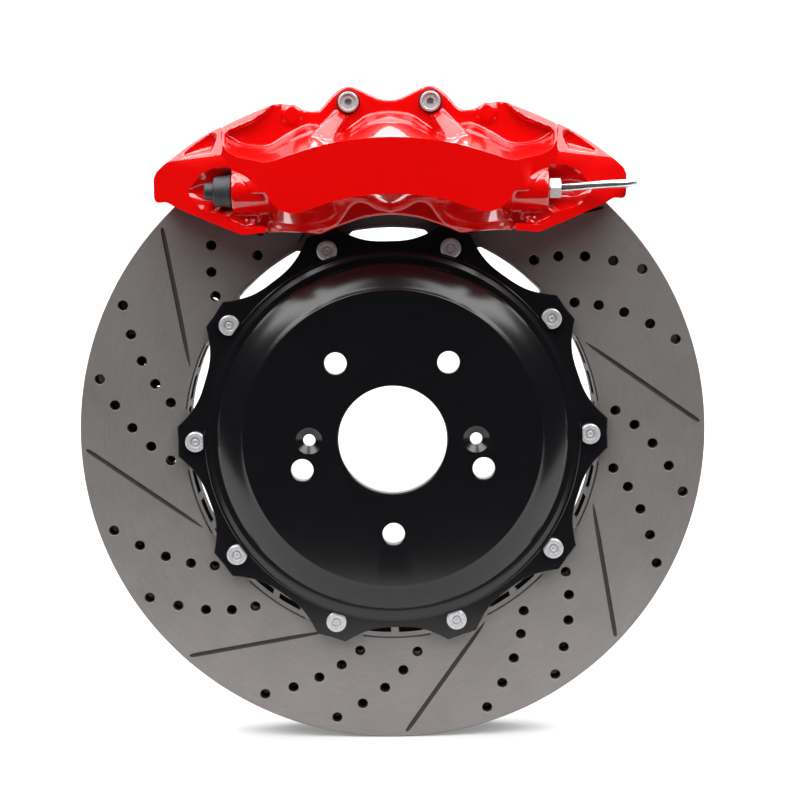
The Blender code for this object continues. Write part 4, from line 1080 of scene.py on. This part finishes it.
capProfile = (
    (0.3, 7.6), (0.0, 8.3), (0.0, 9.1), (0.5, 9.66), (1.7, 9.62), (2.3, 9.2), (5.5, 8.75), (9.3, 8.3),
    (10.1, 7.95), (10.4, 7.3), (10.4, 5.7), (10.75, 5.2), (11.6, 5.05), (15.0, 4.95), (15.5, 4.7),
    (15.7, 4.2),
    (15.7, 1.2), (15.3, 0.6), (15.3, 0), (14.1, 0), (14.1, 3.6), (9.0, 3.6), (8.6, 6.4), (0.3, 7.6),
)


def makeCap(node):
    # a rubber boot, turned as (distance, radius) from its mouth to its closed tip
    low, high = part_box(node)
    centre = (high.x, (low.y + high.y) / 2, (low.z + high.z) / 2)
    outline = [(at * mm, r * mm) for at, r in capProfile]
    piece = lathe(node + "_fine", outline, 64, centre, (-1, 0, 0))
    return finished(piece, "black_rubber", [node], 40)


tubeNut = {"flats": 11.0, "head": 6.6, "hole": 2.55}


def makeTubeNut(node):
    low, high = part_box(node)
    centre = Vector((low.x, (low.y + high.y) / 2, (low.z + high.z) / 2))
    length = (high.x - low.x) / mm
    flats, hole = tubeNut["flats"], tubeNut["hole"]
    hexagon = makeHexagon(node + "_fine", flats, length - tubeNut["head"], length, hole, centre, (1, 0, 0))
    profile = [
        (0.4, hole), (0.0, 3.4), (0.6, 4.0), (length - 8, 4.0), (length - 7.6, 4.6), (length - 7.2, 4.6),
        (length - 6.8, 4.0), (length - 6.2, 4.0), (length - 6.2, hole), (0.4, hole),
    ]
    weld(hexagon, lathe("neck", [(at * mm, r * mm) for at, r in profile], 40, centre, (1, 0, 0)))
    return finished(hexagon, "zinc_plated", [node], 32)


def makePipe():
    pipe = refined("crossover_pipe", 0)
    applyModifier(pipe, "SUBSURF", {"levels": 2})
    applyModifier(pipe, "DISPLACE", {"strength": 0.1 * mm, "mid_level": 0})
    return finished(pipe, "zinc_plated", ["crossover_pipe"], 60, "bright_pipe")


def makeSmallPieces():
    makeScrews()
    for hand in ("outer", "inner"):
        makeCap(f"bleed_cap_{hand}")
        makeTubeNut(f"tube_nut_{hand}")
    makePipe()
    eased = {
        "bridge": 1.2, "outer_pad_plate": 0.5, "inner_pad_plate": 0.5,
        "outer_pad_lining": 0.4, "inner_pad_lining": 0.4,
        "pad_pin_1": 0.4, "pad_pin_2": 0.4, "bleed_screw_outer": 0.3, "bleed_screw_inner": 0.3,
    }
    for node, width in eased.items():
        finished(refined(node, width * mm), slotOf[node], [node], 40)
    for place in ("outer", "inner"):
        for number in (1, 2, 3):
            node = f"piston_{place}_{number}"
            finished(refined(node, 0.5 * mm), slotOf[node], [node], 40)


makeSmallPieces()


stageSet = {
    "floor": -discRadius - 0.1 * mm, "wide": 14, "back": 3.2, "front": -0.26, "high": 4.0, "sweep": 1.2,
    "glow": 0.25, "nearGlow": 0.9,
}


def sheet(name, outline, finish):
    # a ribbon along an outline of (y, z), as wide as the stage
    points = [(hand * stageSet["wide"], y, z) for y, z in outline for hand in (-1, 1)]
    faces = [(2 * i, 2 * i + 1, 2 * i + 3, 2 * i + 2) for i in range(len(outline) - 1)]
    piece = asObject(name, points, [], faces)
    bpy.ops.object.shade_smooth()
    piece.data.materials.append(finish)
    return piece


def whitePaper(name, glow):
    finish = Finish(name, {"Roughness": 0.9, "Specular IOR Level": 0.1, "Emission Strength": glow})
    finish.shader.inputs["Emission Color"].default_value = rgb(1, 1, 1)
    finish.colour(finish.mix(finish.noise(3, 2), rgb(0.5, 0.5, 0.5), rgb(0.49, 0.49, 0.49)))
    return finish.material


def makeStage():
    floor, back, sweep = stageSet["floor"], stageSet["back"], stageSet["sweep"]
    turns = [math.radians(5 * k) for k in range(19)]
    curve = [(back - sweep + sweep * math.sin(t), floor + sweep - sweep * math.cos(t)) for t in turns]
    far = [(stageSet["front"], floor), *curve, (back, stageSet["high"])]
    sheet("studio_floor", far, whitePaper("studio_white", stageSet["glow"]))
    # the near side of the room is there for the eye only: the black hat and the paint mirror a dark room
    near = [(-back, stageSet["high"]), *[(-y, z) for y, z in reversed(curve)], (stageSet["front"], floor)]
    front = sheet("studio_front", near, whitePaper("studio_front_white", stageSet["nearGlow"]))
    front.visible_glossy = False
    front.visible_diffuse = False
    front.visible_shadow = False


def lamp(name, place, target, size, power):
    bpy.ops.object.light_add(type="AREA", location=place)
    light = bpy.context.active_object
    light.name = name
    light.rotation_euler = (Vector(target) - Vector(place)).to_track_quat("-Z", "Y").to_euler()
    light.data.shape = "RECTANGLE"
    light.data.size, light.data.size_y = size
    light.data.energy = power


cameraSet = {"back": 889 * mm, "height": 134 * mm, "tilt": 7.1, "roll": 0.6, "lens": 67.23, "shift": 0.0096}


def makeCamera():
    bpy.ops.object.camera_add()
    camera = bpy.context.active_object
    turn = Matrix.Rotation(math.radians(90 - cameraSet["tilt"]), 4, "X")
    turn = turn @ Matrix.Rotation(-math.radians(cameraSet["roll"]), 4, "Z")
    place = Vector((0, -cameraSet["back"], cameraSet["height"]))
    camera.matrix_world = Matrix.Translation(place) @ turn
    camera.data.lens = cameraSet["lens"]
    camera.data.shift_x = cameraSet["shift"]
    camera.data.sensor_width = 36
    camera.data.clip_end = 50
    bpy.context.scene.camera = camera


# place, target, size in metres and power in watts
lamps = {
    "overhead": ((0, 0.75, 1.7), (0, 0.75, 0), (5.0, 3.2), 170),
    "front_left": ((-0.95, -1.25, 1.6), (0, 0, 0.05), (1.3, 1.3), 35),
    "front_right": ((0.95, -1.25, 1.6), (0, 0, 0.05), (1.3, 1.3), 35),
    "backdrop": ((0, 1.9, 2.6), (0, 3.2, 0.2), (4, 1.2), 90),
}


def makeLight():
    world = bpy.data.worlds.new("studio")
    world.use_nodes = True
    background = world.node_tree.nodes["Background"]
    background.inputs["Color"].default_value = rgb(1, 1, 1)
    background.inputs["Strength"].default_value = 0.02
    bpy.context.scene.world = world
    for name, look in lamps.items():
        lamp(name, *look)


makeStage()
makeCamera()
makeLight()
print("stage, camera and lights placed")
